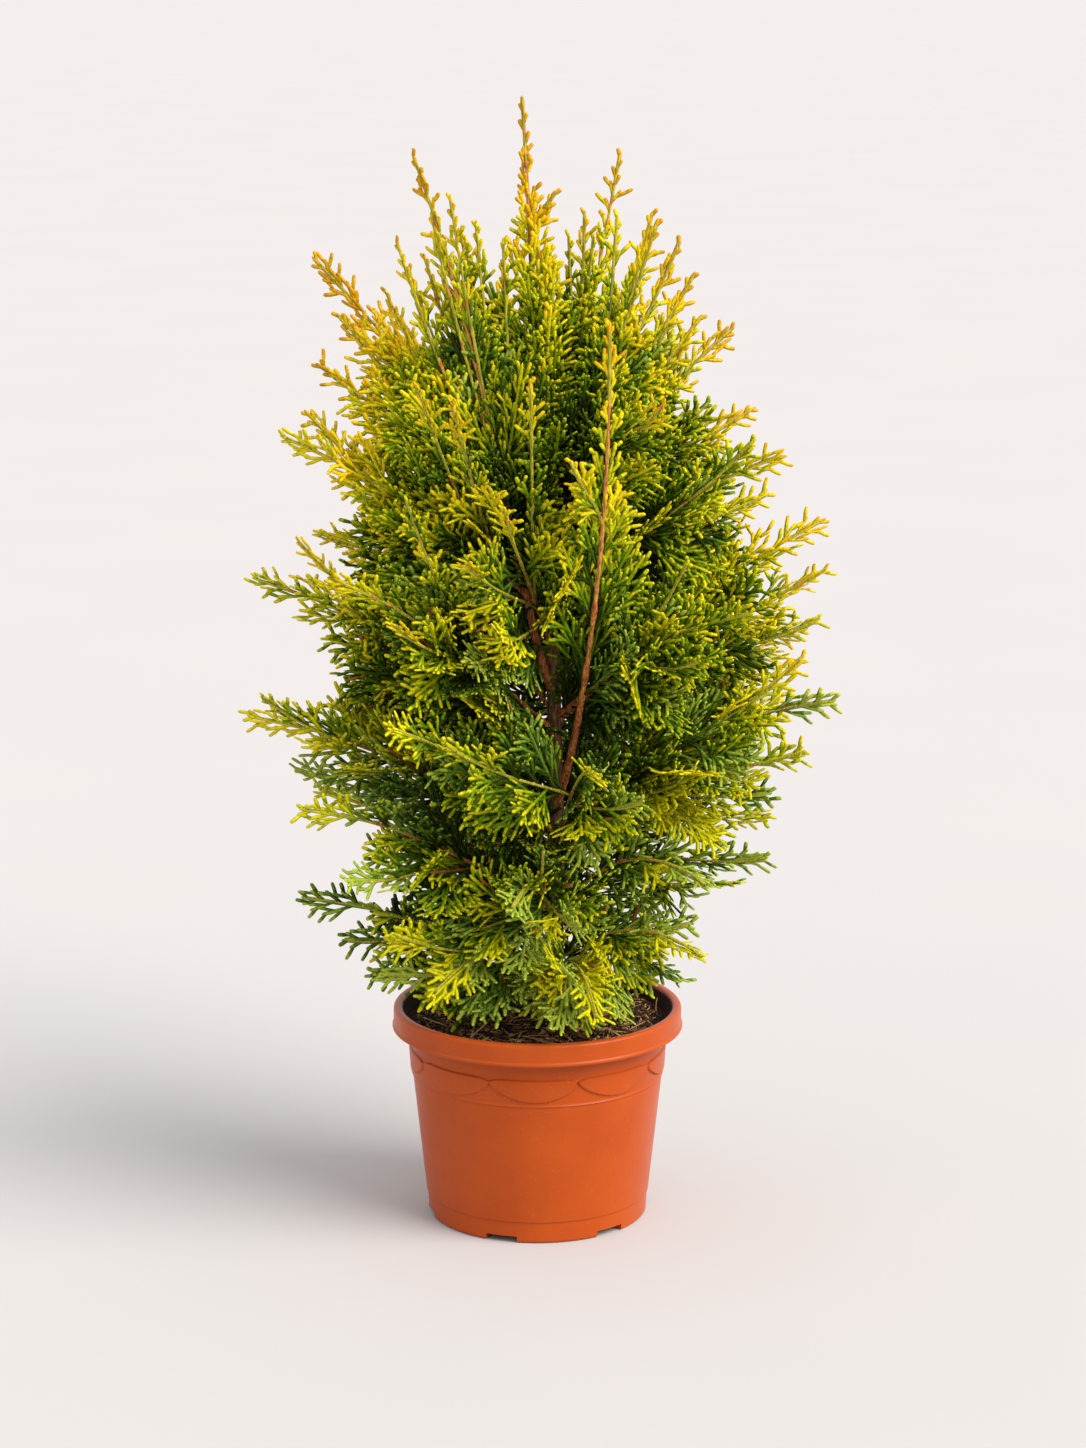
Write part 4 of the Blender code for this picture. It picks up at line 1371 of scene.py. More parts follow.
class TopShoot(Limb):
    """The trunk's own last stretch, which carries the topmost mass."""

    leafy_height = 0.48
    frond_share = 0.74
    nudge = 0.01

    def __init__(self, trunk: Trunk) -> None:
        """Follow the trunk's line from its cut tip to the top of the tree."""
        self.trunk = trunk
        self.name = TOP_MASS
        self.bare = 0
        self.out = Vector((0, -1, 0))
        self.length = trunk.tree_top - trunk.top
        self.root_radius = trunk.radius(trunk.top)

    def at(self, t: float) -> Vector:
        """The point at share t of the shoot."""
        return self.trunk.point(self.trunk.top + GAP + t * (self.length - GAP))

    def direction(self, t: float) -> Vector:
        """The unit direction at share t of the shoot."""
        return (self.at(t + self.nudge) - self.at(t - self.nudge)).normalized()

    def room_start(self) -> float:
        """The room begins with the fronds."""
        return self.leafy_start()

    def leafy_start(self) -> float:
        """The trunk below the shoot bears fronds too, from a height below its cut tip."""
        return (self.leafy_height - self.trunk.top) / self.length


def segment_distances(points: np.ndarray, starts: np.ndarray, ends: np.ndarray) -> np.ndarray:
    """Distance from each point to each segment.

    Args:
        points: P points.
        starts: S segment starts.
        ends: S segment ends.

    Returns:
        P rows of S distances.
    """
    run_ = ends - starts
    offset = points[:, None] - starts[None]
    share = np.clip(np.sum(offset * run_, axis=2) / np.sum(run_ * run_, axis=1), 0, 1)
    return np.linalg.norm(offset - run_ * share[..., None], axis=2)


@dataclass
class Crown:
    """All the limbs, and the room that the foliage of each keeps to."""

    trunk: Trunk
    pot: Pot
    stray: float = 0.016
    limb_clearance: float = 0.0012
    soil_clearance: float = 0.001
    frond_clearance: float = 0.010
    rim_clearance: float = 0.004
    trunk_steps: int = 12
    sight_points: int = 30
    sight_start: float = 0.12
    sight_span: float = 0.74
    sight_radius: float = 0.0075
    sight_ahead: float = 0.004
    limbs: list[Limb] = field(default_factory=list)
    stems: list[tuple[Limb, int]] = field(default_factory=list)

    def __post_init__(self) -> None:
        """Lay out the limbs and the segments that divide the crown."""
        self.limbs = [Limb(self.trunk, name, *sizes) for name, sizes in LIMBS.items()]
        self.limbs.append(TopShoot(self.trunk))
        self.stems = [(limb, index) for index, limb in enumerate(self.limbs)]
        named = {limb.name: (limb, index) for limb, index in self.stems}
        for name, share, tip in TWIGS:
            parent, index = named[name]
            self.stems.append((Twig(parent, share, tip), index))
        starts, ends, owners = [], [], []
        for stem, index in self.stems:
            line = stem.points(stem.room_start(), 1, stem.stem_points)
            starts += line[:-1]
            ends += line[1:]
            owners += [index] * (len(line) - 1)
        self.starts, self.ends, self.owners = np.array(starts), np.array(ends), np.array(owners)
        self.sight = np.array([
            limb.at(self.sight_start + self.sight_span * i / self.sight_points)
            for limb in self.limbs if limb.name in OPEN_LEADERS for i in range(self.sight_points)
        ])
        wood = [limb.points(0, limb.bare, limb.bough_points) for limb in self.limbs if limb.bare]
        thick = [limb.root_radius for limb in self.limbs if limb.bare]
        step = (self.trunk.top - self.trunk.soil_top) / self.trunk_steps
        for low in (self.trunk.soil_top + step * i for i in range(self.trunk_steps)):
            wood.append([self.trunk.point(low), self.trunk.point(low + step)])
            thick.append(self.trunk.radius(low))
        self.wood_starts = np.array([point for line in wood for point in line[:-1]])
        self.wood_ends = np.array([point for line in wood for point in line[1:]])
        self.wood_radius = np.concatenate([[r] * (len(line) - 1) for line, r in zip(wood, thick)])

    def inside(self, points: np.ndarray) -> np.ndarray:
        """Which points are below the tree's top and clear of the soil and the pot's rim."""
        radius = np.hypot(points[:, 0], points[:, 1])
        low, high = self.trunk.soil_top + self.soil_clearance, self.trunk.tree_top
        fits = (points[:, 2] > low) & (points[:, 2] < high)
        at_rim = points[:, 2] < self.pot.height + self.soil_clearance
        return fits & ~(at_rim & (radius > self.pot.rim_inner_radius - self.rim_clearance))

    def hides(self, points: np.ndarray) -> bool:
        """True if a point stands in front of the stem of a leader that stays open to the front."""
        offset = points[:, None] - self.sight[None]
        ahead = offset @ np.array(FRONT)
        aside = np.sqrt(np.maximum(np.sum(offset**2, axis=2) - ahead**2, 0))
        return bool(((ahead > self.sight_ahead) & (aside < self.sight_radius)).any())

    def free(self, points: np.ndarray, owner: int) -> bool:
        """True if all points lie in a limb's own room, loosely, and clear of wood, pot and soil."""
        if not self.inside(points).all() or self.hides(points):
            return False
        if points[:, 2].min() < self.trunk.soil_top + self.frond_clearance:
            return False
        wood = segment_distances(points, self.wood_starts, self.wood_ends)
        if (wood < self.wood_radius + self.limb_clearance).any():
            return False
        gaps = segment_distances(points, self.starts, self.ends)
        own = gaps[:, self.owners == owner].min(axis=1)
        other = gaps[:, self.owners != owner].min(axis=1)
        return bool((own < other + self.stray).all())


@dataclass
class Wood:
    """The boughs, and the leafy stems' own wood."""

    crown: Crown
    columns: int = 12
    ring_length: float = 0.0022
    least_rings: int = 8
    collar: float = 0.45
    collar_reach: float = 0.10
    collar_fall: float = 3.0
    ridge: float = 0.00035
    ridge_stretch: tuple[float, float, float] = (0.5, 0.5, 0.35)
    stem_rings: int = 34
    stem_sides: int = 6
    stem_overlap: float = 0.01
    stem_last: float = 0.985
    stem_point: float = 0.004
    least_radius: float = 0.00095
    ring_facing: tuple[float, float, float] = (0.31, 0.17, 0.93)
    knots: float = 0.13
    aged_radius: float = 0.0022
    age_scatter: float = 0.08
    brown_age: float = 0.85
    young_age: float = 0.52
    seed: int = 11

    def bough(self, limb: Limb) -> bpy.types.Object:
        """One bough, from inside the trunk to where its foliage begins, swollen at its collar."""
        count = max(self.least_rings, round(limb.bare * limb.length / self.ring_length))
        shares = [limb.bare * i / count for i in range(count + 1)]
        swells = [self.collar * math.exp(-t / self.collar_reach * self.collar_fall) for t in shares]
        radii = [limb.radius(t) * (1 + swell) for t, swell in zip(shares, swells)]
        points = [limb.at(t) for t in shares]
        return extruded_limb(points, radii, self.columns, (points[-1] - points[0]).normalized())

    def build_boughs(self, bark: bpy.types.Material) -> None:
        """Model all boughs as one piece."""
        bare = [limb for limb in self.crown.limbs if limb.bare]
        boughs = [self.bough(limb) for limb in bare]
        deselect_all()
        for bough in boughs:
            bough.select_set(True)
        bpy.context.view_layer.objects.active = boughs[0]
        bpy.ops.object.join()
        piece = bpy.context.object
        bpy.ops.object.transform_apply(location=True, rotation=True, scale=True)
        ridged_bark(piece.data, self.ridge, self.ridge_stretch)
        dress(piece, "bark_boughs", ["bough_" + limb.name for limb in bare], [bark])

    def build_stems(self, finishes: list[bpy.types.Material]) -> None:
        """Model the stems inside the foliage.

        Args:
            finishes: Bark of old stems, of younger ones further out, and of the green tips.
        """
        dice = np.random.default_rng(self.seed)
        batch = MeshBatch()
        angles = [2 * math.pi * side / self.stem_sides for side in range(self.stem_sides)]
        facing = Vector(self.ring_facing)
        for limb, _ in self.crown.stems:
            first = max(limb.stem_start() - self.stem_overlap, 0)
            span = self.stem_last - first
            rows, finish = [], []
            for ring in range(self.stem_rings):
                t = first + span * ring / (self.stem_rings - 1)
                heading = limb.direction(t)
                across = heading.cross(facing).normalized()
                normal = heading.cross(across)
                radius = max(limb.radius(t), self.least_radius) * (1 + self.knots * dice.normal())
                centre = limb.at(t)
                rows += [centre + (across * math.cos(a) + normal * math.sin(a)) * radius for a in angles]
                age = limb.radius(t) / self.aged_radius + dice.normal(0, self.age_scatter)
                finish.append(0 if age > self.brown_age else 1 if age > self.young_age else 2)
            rows.append(limb.at(1 - self.stem_point / limb.length))
            batch.add(np.array(rows)[None], self.stem_rings, self.stem_sides, np.array(finish)[None])
        nodes = ["foliage_" + limb.name for limb in self.crown.limbs]
        dress(batch.build("twigs"), "twigs", nodes, finishes)


@dataclass(frozen=True)
class BranchRule:
    """How side shoots stand on a shoot of a flat spray."""

    step: float
    first: float
    last: float
    angle_deg: float
    scatter_deg: float
    reach: float
    least: float
    most: float
    narrow_base: float
    roll_deg: float
    forward: float
    width: float
    jitter: float = 0.22
    closed_angle: float = 0.55
    opening: float = 0.45
    base_share: float = 0.22
    length_scatter: tuple[float, float] = (0.82, 1.12)
    width_scatter: tuple[float, float] = (0.9, 1.1)
    shortest: float = 0.7
    sag_scatter: float = 0.05

    def side_shoots(self, parents: Shoots, dice: np.random.Generator) -> Shoots:
        """Alternate side shoots along each parent, in its plane, shorter towards its tip.

        Args:
            parents: The shoots that carry them.
            dice: Random numbers.

        Returns:
            The side shoots.
        """
        span = self.last - self.first
        counts = np.maximum(0, np.round(parents.length * span / self.step)).astype(int)
        rows = np.repeat(np.arange(len(parents)), counts)
        order = np.arange(len(rows)) - np.repeat(np.cumsum(counts) - counts, counts)
        jitter = dice.uniform(-self.jitter, self.jitter, len(rows))
        share = self.first + (order + 0.5 + jitter) / counts[rows] * span
        start = dice.integers(0, 2, len(parents))[rows]
        side = np.where((order + start) % 2 == 0, 1.0, -1.0)
        forward = parents.heading(rows, share)
        across = unit(np.cross(parents.face[rows], forward))
        opened = self.closed_angle + self.opening * parents.spread[rows]
        angle = np.radians(self.angle_deg * opened + dice.normal(0, self.scatter_deg, len(rows)))
        along = forward * np.cos(angle)[:, None] + across * (side * np.sin(angle))[:, None]
        roll = np.radians(dice.normal(0, self.roll_deg, len(rows)))
        face = turned(unit(np.cross(forward, across)), along, roll)
        base = np.clip(share / self.base_share, 0, 1)
        length = self.least + self.reach * (1 - share) * parents.length[rows]
        length *= parents.spread[rows]
        narrowed = self.narrow_base + (1 - self.narrow_base) * base
        length *= narrowed * dice.uniform(*self.length_scatter, len(rows))
        length = np.clip(length, self.least * self.shortest, self.most)
        sideways = dice.normal(0, self.sag_scatter, len(rows)) * length
        sag = forward * (self.forward * length)[:, None] + face * sideways[:, None]
        return Shoots(
            root=parents.at(rows, share),
            along=along,
            face=face,
            sag=sag,
            length=length,
            width=self.width * dice.uniform(*self.width_scatter, len(rows)),
            tone=parents.tone[rows],
            cool=parents.cool[rows],
            spread=np.ones(len(rows)),
            limb=parents.limb[rows],
        )


@dataclass(frozen=True)
class Tints:
    """Which leaf colour each part of the foliage takes, in steps from deep green, 0, to amber.

    Besides the plant's own gold and green, the steps paint light and shade: lighter tones out
    at the crown's outline and on the front of its base, darker ones deep inside the crown and
    at the left of its base.

    A curve holds places first, such as heights, and then the values there.
    """

    outline: Curve = ((0.15, 0.25, 0.40, 0.50, 0.60, 0.73), (0.125, 0.160, 0.182, 0.160, 0.115, 0.05))
    depth_ratio: float = 1.22
    top_foot: float = 0.58
    top_span: float = 0.10
    outermost: float = 1.1
    levels: Curve = (
        (0.14, 0.19, 0.24, 0.30, 0.40, 0.50, 0.58, 0.65, 0.73),
        (3.9, 4.5, 3.2, 2.0, 2.5, 3.6, 4.8, 5.7, 5.9),
    )
    inner_shares: Curve = ((0.17, 0.25, 0.48, 0.58), (0.5, 0.25, 0.28, 0.45))
    outer_gain: Curve = ((0.15, 0.30, 0.45), (2.6, 3.2, 4.2))
    caps: Curve = ((0.14, 0.26, 0.34, 0.50, 0.60), (5.0, 5.0, 5.8, 7.0, 8.2))
    edge_start: float = 0.86
    edge_span: float = 0.1
    edge_height: float = 0.37
    left_gold: float = 4.6
    left_gold_share: Curve = ((0.28, 0.40, 0.50, 0.56), (0, 1, 1, 0))
    base_glow: float = 1.6
    glow_place: tuple[float, float] = (0.02, 0.195)
    glow_fade: Curve = ((0.03, 0.08), (1, 0))
    base_shade: float = 0.9
    shade_start: float = 0.03
    shade_span: float = 0.05
    shade_fade: Curve = ((0.23, 0.27), (1, 0))
    mood_range: tuple[float, float] = (-1.7, 1.4)
    mood_steps: float = 1.5
    limb_scatter: float = 0.6
    shoot_scatter: float = 0.55
    golden_height: float = 0.56
    golden_least: float = -0.3
    bluish_height: float = 0.42
    bluish_span: float = 0.20
    bluish_low: float = 0.42
    bluish_below_gold: float = 0.05
    withered_share: float = 0.012
    withered_inside: float = 0.75
    withered_height: float = 0.42

    def outerness(self, points: np.ndarray) -> np.ndarray:
        """How far out or up points lie, from 0 at the trunk to 1 at the crown's outline."""
        aside = np.hypot(points[:, 0], points[:, 1] * self.depth_ratio)
        aside /= np.interp(points[:, 2], *self.outline)
        upward = (points[:, 2] - self.top_foot) / self.top_span
        return np.clip(np.maximum(aside, upward), 0, self.outermost)

    def frond_tones(self, mood: np.ndarray, limb_mood: np.ndarray, height: np.ndarray) -> np.ndarray:
        """Steps by which whole fronds differ, by their own mood and their limb's, with golden ones on top."""
        tone = np.clip(mood, *self.mood_range) * self.mood_steps + limb_mood
        return np.where(height > self.golden_height, np.maximum(tone, self.golden_least), tone)

    def bluish(self, height: np.ndarray, dice: np.random.Generator) -> np.ndarray:
        """Draw the fronds of bluish green, more of them further down: 1 for these and 0 for the others."""
        low = np.clip((self.bluish_height - height) / self.bluish_span, 0, 1)
        chance = self.bluish_low * low + self.bluish_below_gold * (height < self.golden_height)
        return (dice.uniform(0, 1, len(height)) < chance).astype(float)

    def values(
        self, shoots: Shoots, tip: np.ndarray, outer: np.ndarray, dice: np.random.Generator
    ) -> np.ndarray:
        """The tone of each shoot, before the change along it.

        Args:
            shoots: The shoots.
            tip: Their tips.
            outer: How far out these lie.
            dice: Random numbers.

        Returns:
            Steps from deep green.
        """
        x, y, z = tip[:, 0], tip[:, 1], tip[:, 2]
        # Tones by height and outerness: besides the plant's greener inside, they paint shade deep in the
        # crown and light on the front skirt.
        inner = np.interp(z, *self.inner_shares)
        value = np.interp(z, *self.levels) * (inner + (1 - inner) * outer) + shoots.tone
        value -= self.left_gold * x * np.interp(z, *self.left_gold_share)
        # Painted light: lighter tones on the fronds at the front of the crown's base, round a given place.
        from_painted_light = np.hypot(x - self.glow_place[0], z - self.glow_place[1])
        value += self.base_glow * np.interp(from_painted_light, *self.glow_fade) * (y < 0)
        # Painted shade: darker tones on the fronds at the left of the crown's base.
        leftward = np.clip((-x - self.shade_start) / self.shade_span, 0, 1)
        value -= self.base_shade * leftward * np.interp(z, *self.shade_fade)
        # Painted light, besides the plant's own gold: lighter tones out at the crown's outline.
        value += outer**2 * np.interp(z, *self.outer_gain)
        value += dice.normal(0, self.shoot_scatter, len(shoots))
        return value

    def deal(
        self, shoots: Shoots, shape: RodShape, run_: tuple[float, float], dice: np.random.Generator
    ) -> np.ndarray:
        """Deal a leaf tone to each ring of each shoot: greener at its base and inside, golden at the tips.

        The deeper greens inside also paint the crown's shade.

        Args:
            shoots: The shoots.
            shape: Their rings.
            run_: Steps of tone added at a shoot's base and at its tip.
            dice: Random numbers.

        Returns:
            Material index for each shoot and ring.
        """
        rings = len(shape.shares)
        tip = shoots.tips()
        outer = self.outerness(tip)
        value = self.values(shoots, tip, outer, dice)
        along = np.linspace(*run_, rings)
        edge = np.clip((outer - self.edge_start) / self.edge_span, 0, 1)
        cap = np.interp(tip[:, 2], *self.caps) + edge * (tip[:, 2] > self.edge_height)
        limit = np.minimum(cap[:, None] + (np.arange(rings) == rings - 1), len(WARM_TONES) - 1)
        steps = np.round(np.clip(value[:, None] + along, 0, limit)).astype(int)
        warm = np.array([LEAVES.index(tone) for tone in WARM_TONES])[steps]
        cool = np.array([LEAVES.index(tone) for tone in COOL_TONES])[steps]
        dealt = np.where(shoots.cool[:, None] > 0.5, cool, warm)
        withered = dice.uniform(0, 1, len(shoots)) < self.withered_share
        withered &= (outer < self.withered_inside) & (tip[:, 2] < self.withered_height)
        dealt[withered] = LEAVES.index(Leaf.WITHERED)
        return dealt


class Frond(NamedTuple):
    """One frond before its branchlets grow, with the fields of Shoots that it brings."""

    root: Vector
    along: Vector
    face: Vector
    sag: Vector
    length: float
    mood: float
    spread: float


@dataclass
class Foliage:
    """Flat sprays of scale-leaved shoots: fronds on the stems, their branchlets and the finest shoots."""

    crown: Crown
    seed: int = 41
    spacing: float = 0.0070
    twig_spacing: float = 0.0088
    leader_spacing: float = 0.0052
    loosest: float = 1.5
    low_height: float = 0.37
    low_span: float = 0.14
    low_loss: float = 0.32
    layering: float = 0.75
    layer_scatter: float = 36.0
    long: float = 0.108
    nub: float = 0.006
    growth: float = 2.7
    swell: float = 1.5
    upright_swell: float = 0.45
    upright_loss: float = 0.25
    upright_press: float = 0.4
    upright_narrowing: float = 0.30
    angle_deg: float = 56.0
    tip_angle_deg: float = 29.0
    angle_fade: float = 1.8
    least_fronds: int = 7
    first_place: float = 0.6
    last_room: float = 0.2
    pair_scatter: float = 20.0
    golden_angle: float = 137.5
    spin_scatter: float = 18.0
    tilt_scatter: float = 35.0
    length_scatter: tuple[float, float] = (0.86, 1.06)
    shrinks: tuple[float, ...] = (1.0, 0.88, 0.77, 0.67, 0.58, 0.5, 0.42)
    turns: tuple[float, ...] = (0, 40, -40, 80, -80)
    fan: float = 0.26
    outward: float = 0.7
    middle_share: float = 0.55
    middle_sag: float = 0.3
    axis_samples: tuple[float, ...] = (0.3, 0.8, 1.0)
    axis_width: float = 0.0026
    droop_height: float = 0.25
    droop_span: float = 0.08
    droop: float = 0.28
    lift: float = 0.10
    lift_scatter: float = 0.06
    bearing_length: float = 0.0085
    piece_limit: int = 190000
    tints: Tints = Tints()
    branchlets: BranchRule = BranchRule(
        step=0.0056, first=0.06, last=0.96, angle_deg=33, scatter_deg=4, reach=0.47, least=0.0082, most=0.048,
        narrow_base=0.6, roll_deg=5, forward=0.05, width=0.0026,
    )
    side_shoots: BranchRule = BranchRule(
        step=0.0052, first=0.16, last=0.92, angle_deg=27, scatter_deg=4, reach=0.50, least=0.0082, most=0.024,
        narrow_base=0.8, roll_deg=6, forward=0.05, width=0.0025,
    )
    axis_shape: RodShape = RodShape(
        (0.0, 0.12, 0.26, 0.4, 0.54, 0.68, 0.8, 0.9, 0.965),
        (0.85, 0.86, 0.88, 0.92, 0.96, 1.0, 1.05, 1.12, 0.85),
        0.6,
    )
    branchlet_shape: RodShape = RodShape((0.0, 0.36, 0.72, 0.93), (0.78, 0.92, 1.08, 0.88), 0.5)
    shoot_shape: RodShape = RodShape((0.0, 0.60, 0.92), (0.70, 1.08, 0.88), 0.55)
    gradients: tuple[tuple[float, float], ...] = ((-2.9, 0.9), (-2.0, 1.8), (-1.6, 2.2))

    def frond_length(self, limb: Limb, t: float, dice: random.Random) -> float:
        """The source's rule for the length of a frond at share t of a limb: short near the limb's tip."""
        upright = max(0, limb.direction(t).z)
        growth = self.growth * (1 - self.upright_loss * upright)
        grown = self.nub + growth * ((1 - t) * limb.length) ** (self.swell + self.upright_swell * upright**2)
        loss = limb.frond_share * (1 - self.low_loss * self.lowness(limb.at(t).z))
        return min(self.long, grown) * loss * dice.uniform(*self.length_scatter)

    def lowness(self, height: float) -> float:
        """How near the crown's foot a height is: 0 well above it, 1 at the skirt."""
        return max(0.0, min(1.0, (self.low_height - height) / self.low_span))

    def tip_lift(self, height: float, dice: random.Random) -> float:
        """How far a frond's tip rises, as a share of its length: low ones hang, higher ones lift."""
        low = max(0.0, min(1.0, (self.droop_height - height) / self.droop_span))
        return self.lift - self.droop * low + dice.gauss(0, self.lift_scatter)

    def outward_face(self, root: Vector, along: Vector, face: Vector) -> Vector:
        """Turn a frond's face partly away from the trunk."""
        out = outward(root)
        turn = 1 if face.dot(out) > 0 else -1
        mixed = face * (1 - self.outward) + out * self.outward * turn
        return (mixed - along * mixed.dot(along)).normalized()

    def fitted(
        self,
        limb: Limb,
        owner: int,
        t: float,
        spin: float,
        angle: float,
        length: float,
        tilt: float,
        lift: float,
    ) -> list:
        """The largest placing of one frond that stays free, trying it round the stem.

        Args:
            limb: The limb or twig.
            owner: Index of the limb whose room it keeps to.
            t: Share of the limb at which it grows.
            spin: Bearing round the stem in degrees.
            angle: Angle from the stem.
            length: Its full length.
            tilt: Turn about its own axis in degrees.
            lift: Lift of its tip as a share of its length.

        Returns:
            Root, direction, face, sag and length, or nothing.
        """
        forward, side = limb.direction(t), limb.side(t)
        for shrink, turn in itertools.product(self.shrinks, self.turns):
            out = Matrix.Rotation(math.radians(spin + turn), 3, forward) @ side
            along = (forward * math.cos(angle) + out * math.sin(angle)).normalized()
            face = Matrix.Rotation(math.radians(tilt), 3, along) @ forward.cross(out)
            face = self.outward_face(limb.at(t), along, face)
            size = length * shrink
            root = limb.at(t) + out * limb.radius(t)
            sag = UP * lift * size
            fan = face.cross(along) * size * self.fan
            middle = root + along * size * self.middle_share + sag * self.middle_sag
            samples = [root + along * size * share + sag * share**2 for share in self.axis_samples]
            samples += [middle, middle + fan, middle - fan]
            if self.crown.free(np.array(samples), owner):
                return [root, along, face, sag, size]
        return []

    def stem_fronds(self, limb: Limb, owner: int, dice: random.Random) -> list[Frond]:
        """The fronds of one limb or twig: those along it, then the spray at its tip.

        Args:
            limb: The limb or twig.
            owner: Index of the limb whose room it keeps to.
            dice: Random numbers.

        Returns:
            The fronds that found room.
        """
        first, last = limb.leafy_start(), limb.stem_end()
        spacing = self.twig_spacing if isinstance(limb, Twig) else self.spacing
        if limb.name == TOP_MASS or limb.name.startswith("leader") and limb.name not in OPEN_LEADERS:
            spacing = self.leader_spacing
        level = self.lowness(limb.at(1).z)
        spacing *= 1 + (self.loosest - 1) * level
        count = max(self.least_fronds, round((last - first) * limb.length / spacing))
        open_ = limb.name in OPEN_LEADERS
        flat = isinstance(limb, (Twig, TopShoot))
        spin = dice.uniform(0, 360)
        fronds = []
        for number in range(count):
            share = (number + self.first_place) / (count + self.last_room)
            t = first + (last - first) * share
            spin += self.golden_angle + dice.uniform(-self.spin_scatter, self.spin_scatter)
            paired = open_ or flat or dice.random() < self.layering * level
            scatter = self.pair_scatter if open_ else self.layer_scatter
            bearing = 180 * (number % 2) + dice.gauss(0, scatter) if paired else spin
            length = self.frond_length(limb, t, dice)
            upright = max(0.0, limb.direction(t).z) ** 2
            opened = (self.angle_deg - self.tip_angle_deg) * (1 - share) ** self.angle_fade
            angle = math.radians(self.tip_angle_deg + opened)
            angle *= 1 - self.upright_press * upright
            tilt = dice.uniform(-self.tilt_scatter, self.tilt_scatter)
            lift = self.tip_lift(limb.at(t).z, dice)
            placing = self.fitted(limb, owner, t, bearing, angle, length, tilt, lift)
            if placing:
                fronds.append(Frond(*placing, dice.gauss(0, 1), 1 - self.upright_narrowing * upright))
        root, tip = limb.at(last), limb.at(1)
        along = (tip - root).normalized()
        face = self.outward_face(root, along, along.orthogonal())
        length = (tip - root).length
        fronds.append(Frond(root, along, face, Vector(), length, dice.gauss(0, 1), limb.tip_spread()))
        return fronds

    def grown(self) -> list[Shoots]:
        """Grow the fronds, branchlets and side shoots.

        Returns:
            The three kinds of shoots, clear of pot and soil.
        """
        grown, limbs = [], []
        chance = random.Random(self.seed)
        for limb, owner in self.crown.stems:
            fronds = self.stem_fronds(limb, owner, chance)
            grown += fronds
            limbs += [owner] * len(fronds)
        root, along, face, sag, length, mood, spread = (np.array(column) for column in zip(*grown))
        limb = np.array(limbs)
        dice = np.random.default_rng(self.seed)
        limb_mood = dice.normal(0, self.tints.limb_scatter, len(self.crown.limbs))[limb]
        tone = self.tints.frond_tones(mood, limb_mood, root[:, 2])
        cool = self.tints.bluish(root[:, 2], dice)
        width = np.full(len(grown), self.axis_width)
        fronds = Shoots(root, along, face, sag, length, width, tone, cool, spread, limb)
        branchlets = self.branchlets.side_shoots(fronds, dice)
        branchlets = branchlets.chosen(self.crown.inside(branchlets.tips()))
        bearing = branchlets.chosen(branchlets.length > self.bearing_length)
        shoots = self.side_shoots.side_shoots(bearing, dice)
        shoots = shoots.chosen(self.crown.inside(shoots.tips()))
        return [fronds, branchlets, shoots]

    def portions(self, members: list[int], weights: np.ndarray) -> list[list[int]]:
        """Share the limbs of a tier among as few pieces as the limit on triangles allows.

        Args:
            members: Indices of the tier's limbs.
            weights: Triangles of every limb.

        Returns:
            The limbs of each piece.
        """
        total = weights[members].sum()
        number = math.ceil(total / self.piece_limit)
        reached = np.cumsum(weights[members]) - weights[members] / 2
        part = np.minimum((reached / total * number).astype(int), number - 1)
        return [[limb for limb, own in zip(members, part) if own == index] for index in range(number)]

    def build(self) -> None:
        """Join the shoots into pieces by tier of limbs, and dress them."""
        finishes = [ScaleLeaf(tone).material() for tone in LEAVES]
        dice = np.random.default_rng(self.seed + 1)
        shapes = (self.axis_shape, self.branchlet_shape, self.shoot_shape)
        kinds = list(zip(self.grown(), shapes, self.gradients))
        dealt = [self.tints.deal(shoots, shape, run_, dice) for shoots, shape, run_ in kinds]
        limbs = self.crown.limbs
        weights = np.zeros(len(limbs), dtype=int)
        for shoots, shape, _ in kinds:
            weights += np.bincount(shoots.limb, minlength=len(limbs)) * shape.triangles()
        tiers: dict[str, list[int]] = {}
        for index, limb in enumerate(limbs):
            tiers.setdefault(limb.name.split("_")[0], []).append(index)
        for tier, members in tiers.items():
            portions = self.portions(members, weights)
            for number, portion in enumerate(portions):
                batch = MeshBatch()
                for (shoots, shape, _), tones in zip(kinds, dealt):
                    mine = np.isin(shoots.limb, portion)
                    batch.add_rods(shoots.chosen(mine), shape, tones[mine])
                name = f"sprays_{tier}_{number + 1}" if len(portions) > 1 else f"sprays_{tier}"
                nodes = ["foliage_" + limbs[index].name for index in portion]
                dress(batch.build(name), name, nodes, finishes)


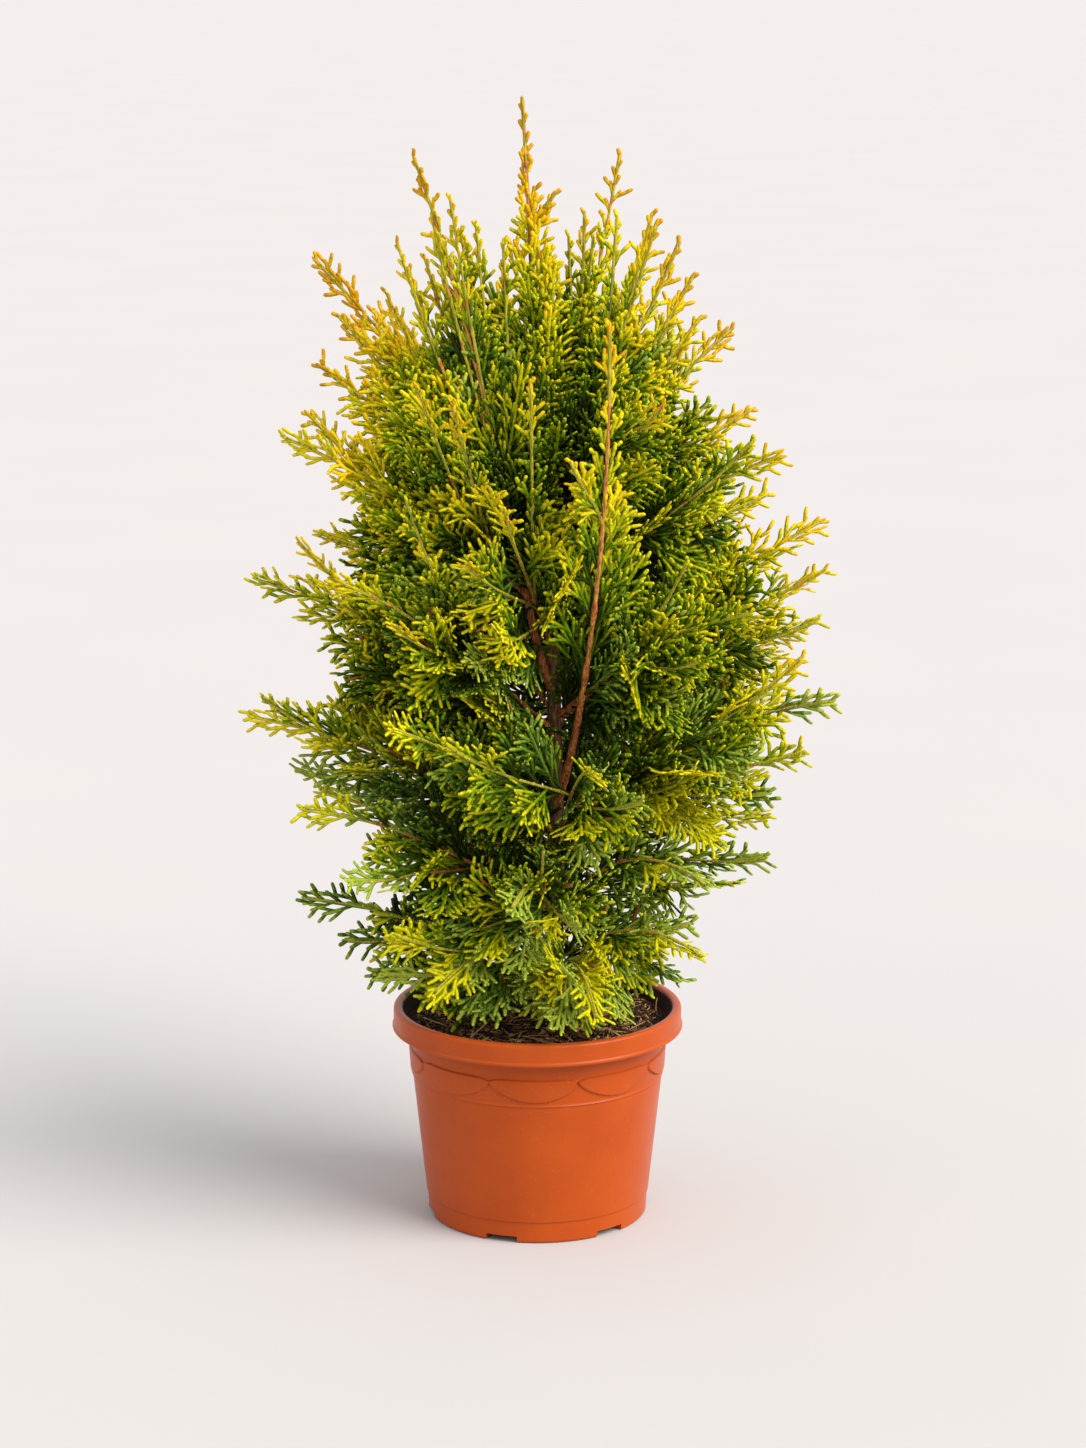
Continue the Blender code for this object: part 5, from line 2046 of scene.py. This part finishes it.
@dataclass
class Studio:
    """Camera, lights and the plain pale floor."""

    image_height: int = 1448
    focal_pixels: float = 3700.0
    sensor: float = 36.0
    camera_place: tuple[float, float, float] = (0.00364, -2.3296, 0.8362)
    pitch_deg: float = 12.33
    view_depth: float = 400.0
    key_from: tuple[float, float, float] = (0.87, -0.52, 0.86)
    key_strength: float = 3.9
    key_softness_deg: float = 44.0
    key_colour: tuple[float, float, float] = (1.0, 0.97, 0.93)
    fill_strength: float = 0.92
    fill_colour: tuple[float, float, float, float] = (0.985, 0.99, 1.0, 1.0)
    floor_size: float = 160.0
    floor_drop: float = 0.0002
    floor_dark: tuple[int, int, int] = (191, 188, 187)
    floor_light: tuple[int, int, int] = (193, 189, 188)

    def build(self) -> None:
        """Set up the camera, the lights and the floor."""
        camera = bpy.data.cameras.new("camera")
        camera.sensor_width = self.sensor
        camera.lens = self.sensor * self.focal_pixels / self.image_height
        camera.clip_end = self.view_depth
        viewer = bpy.data.objects.new("camera", camera)
        viewer.location = self.camera_place
        viewer.rotation_euler = (math.radians(90 - self.pitch_deg), 0, 0)
        bpy.context.scene.collection.objects.link(viewer)
        bpy.context.scene.camera = viewer
        sun = bpy.data.lights.new("key", "SUN")
        sun.energy = self.key_strength
        sun.angle = math.radians(self.key_softness_deg)
        sun.color = self.key_colour
        key = bpy.data.objects.new("key", sun)
        key.rotation_euler = Vector(self.key_from).to_track_quat("Z", "Y").to_euler()
        bpy.context.scene.collection.objects.link(key)
        world = bpy.data.worlds.new("studio")
        world.use_nodes = True
        sky = world.node_tree.nodes["Background"]
        sky.inputs["Color"].default_value = self.fill_colour
        sky.inputs["Strength"].default_value = self.fill_strength
        bpy.context.scene.world = world
        bpy.context.scene.view_settings.view_transform = "Standard"
        deselect_all()
        bpy.ops.mesh.primitive_plane_add(size=self.floor_size, location=(0, 0, -self.floor_drop))
        floor = bpy.context.object
        floor.name = "pale_floor"
        paint = Paint("pale_floor", roughness=0.95, specular=0.1)
        greys = [(0.3, linear(self.floor_dark)), (0.7, linear(self.floor_light))]
        paint.colour(paint.ramp(paint.noise(scale=3, detail=2), greys))
        floor.data.materials.append(paint.material)


def clear_scene() -> None:
    """Remove every object that the file opens with."""
    for obj in list(bpy.data.objects):
        bpy.data.objects.remove(obj)


def main() -> None:
    """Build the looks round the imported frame."""
    logging.basicConfig(level=logging.INFO, format="%(name)s: %(message)s", stream=sys.stdout)
    clear_scene()
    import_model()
    Studio().build()
    pot, trunk = Pot(), Trunk()
    pot.build()
    Soil(pot).build()
    old_bark = Bark("old_bark", (54, 34, 22), (114, 76, 46), (164, 118, 76)).material()
    bough_bark = Bark("bough_bark", (98, 46, 18), (190, 106, 50), (228, 156, 92)).material()
    young_bark = Bark("young_bark", (122, 74, 30), (190, 122, 54), (222, 162, 88)).material()
    green_bark = Bark("green_bark", (96, 104, 24), (156, 150, 38), (206, 180, 60)).material()
    trunk.build(old_bark)
    crown = Crown(trunk, pot)
    wood = Wood(crown)
    wood.build_boughs(bough_bark)
    wood.build_stems([bough_bark, young_bark, green_bark])
    Foliage(crown).build()


if __name__ == "__main__":
    main()
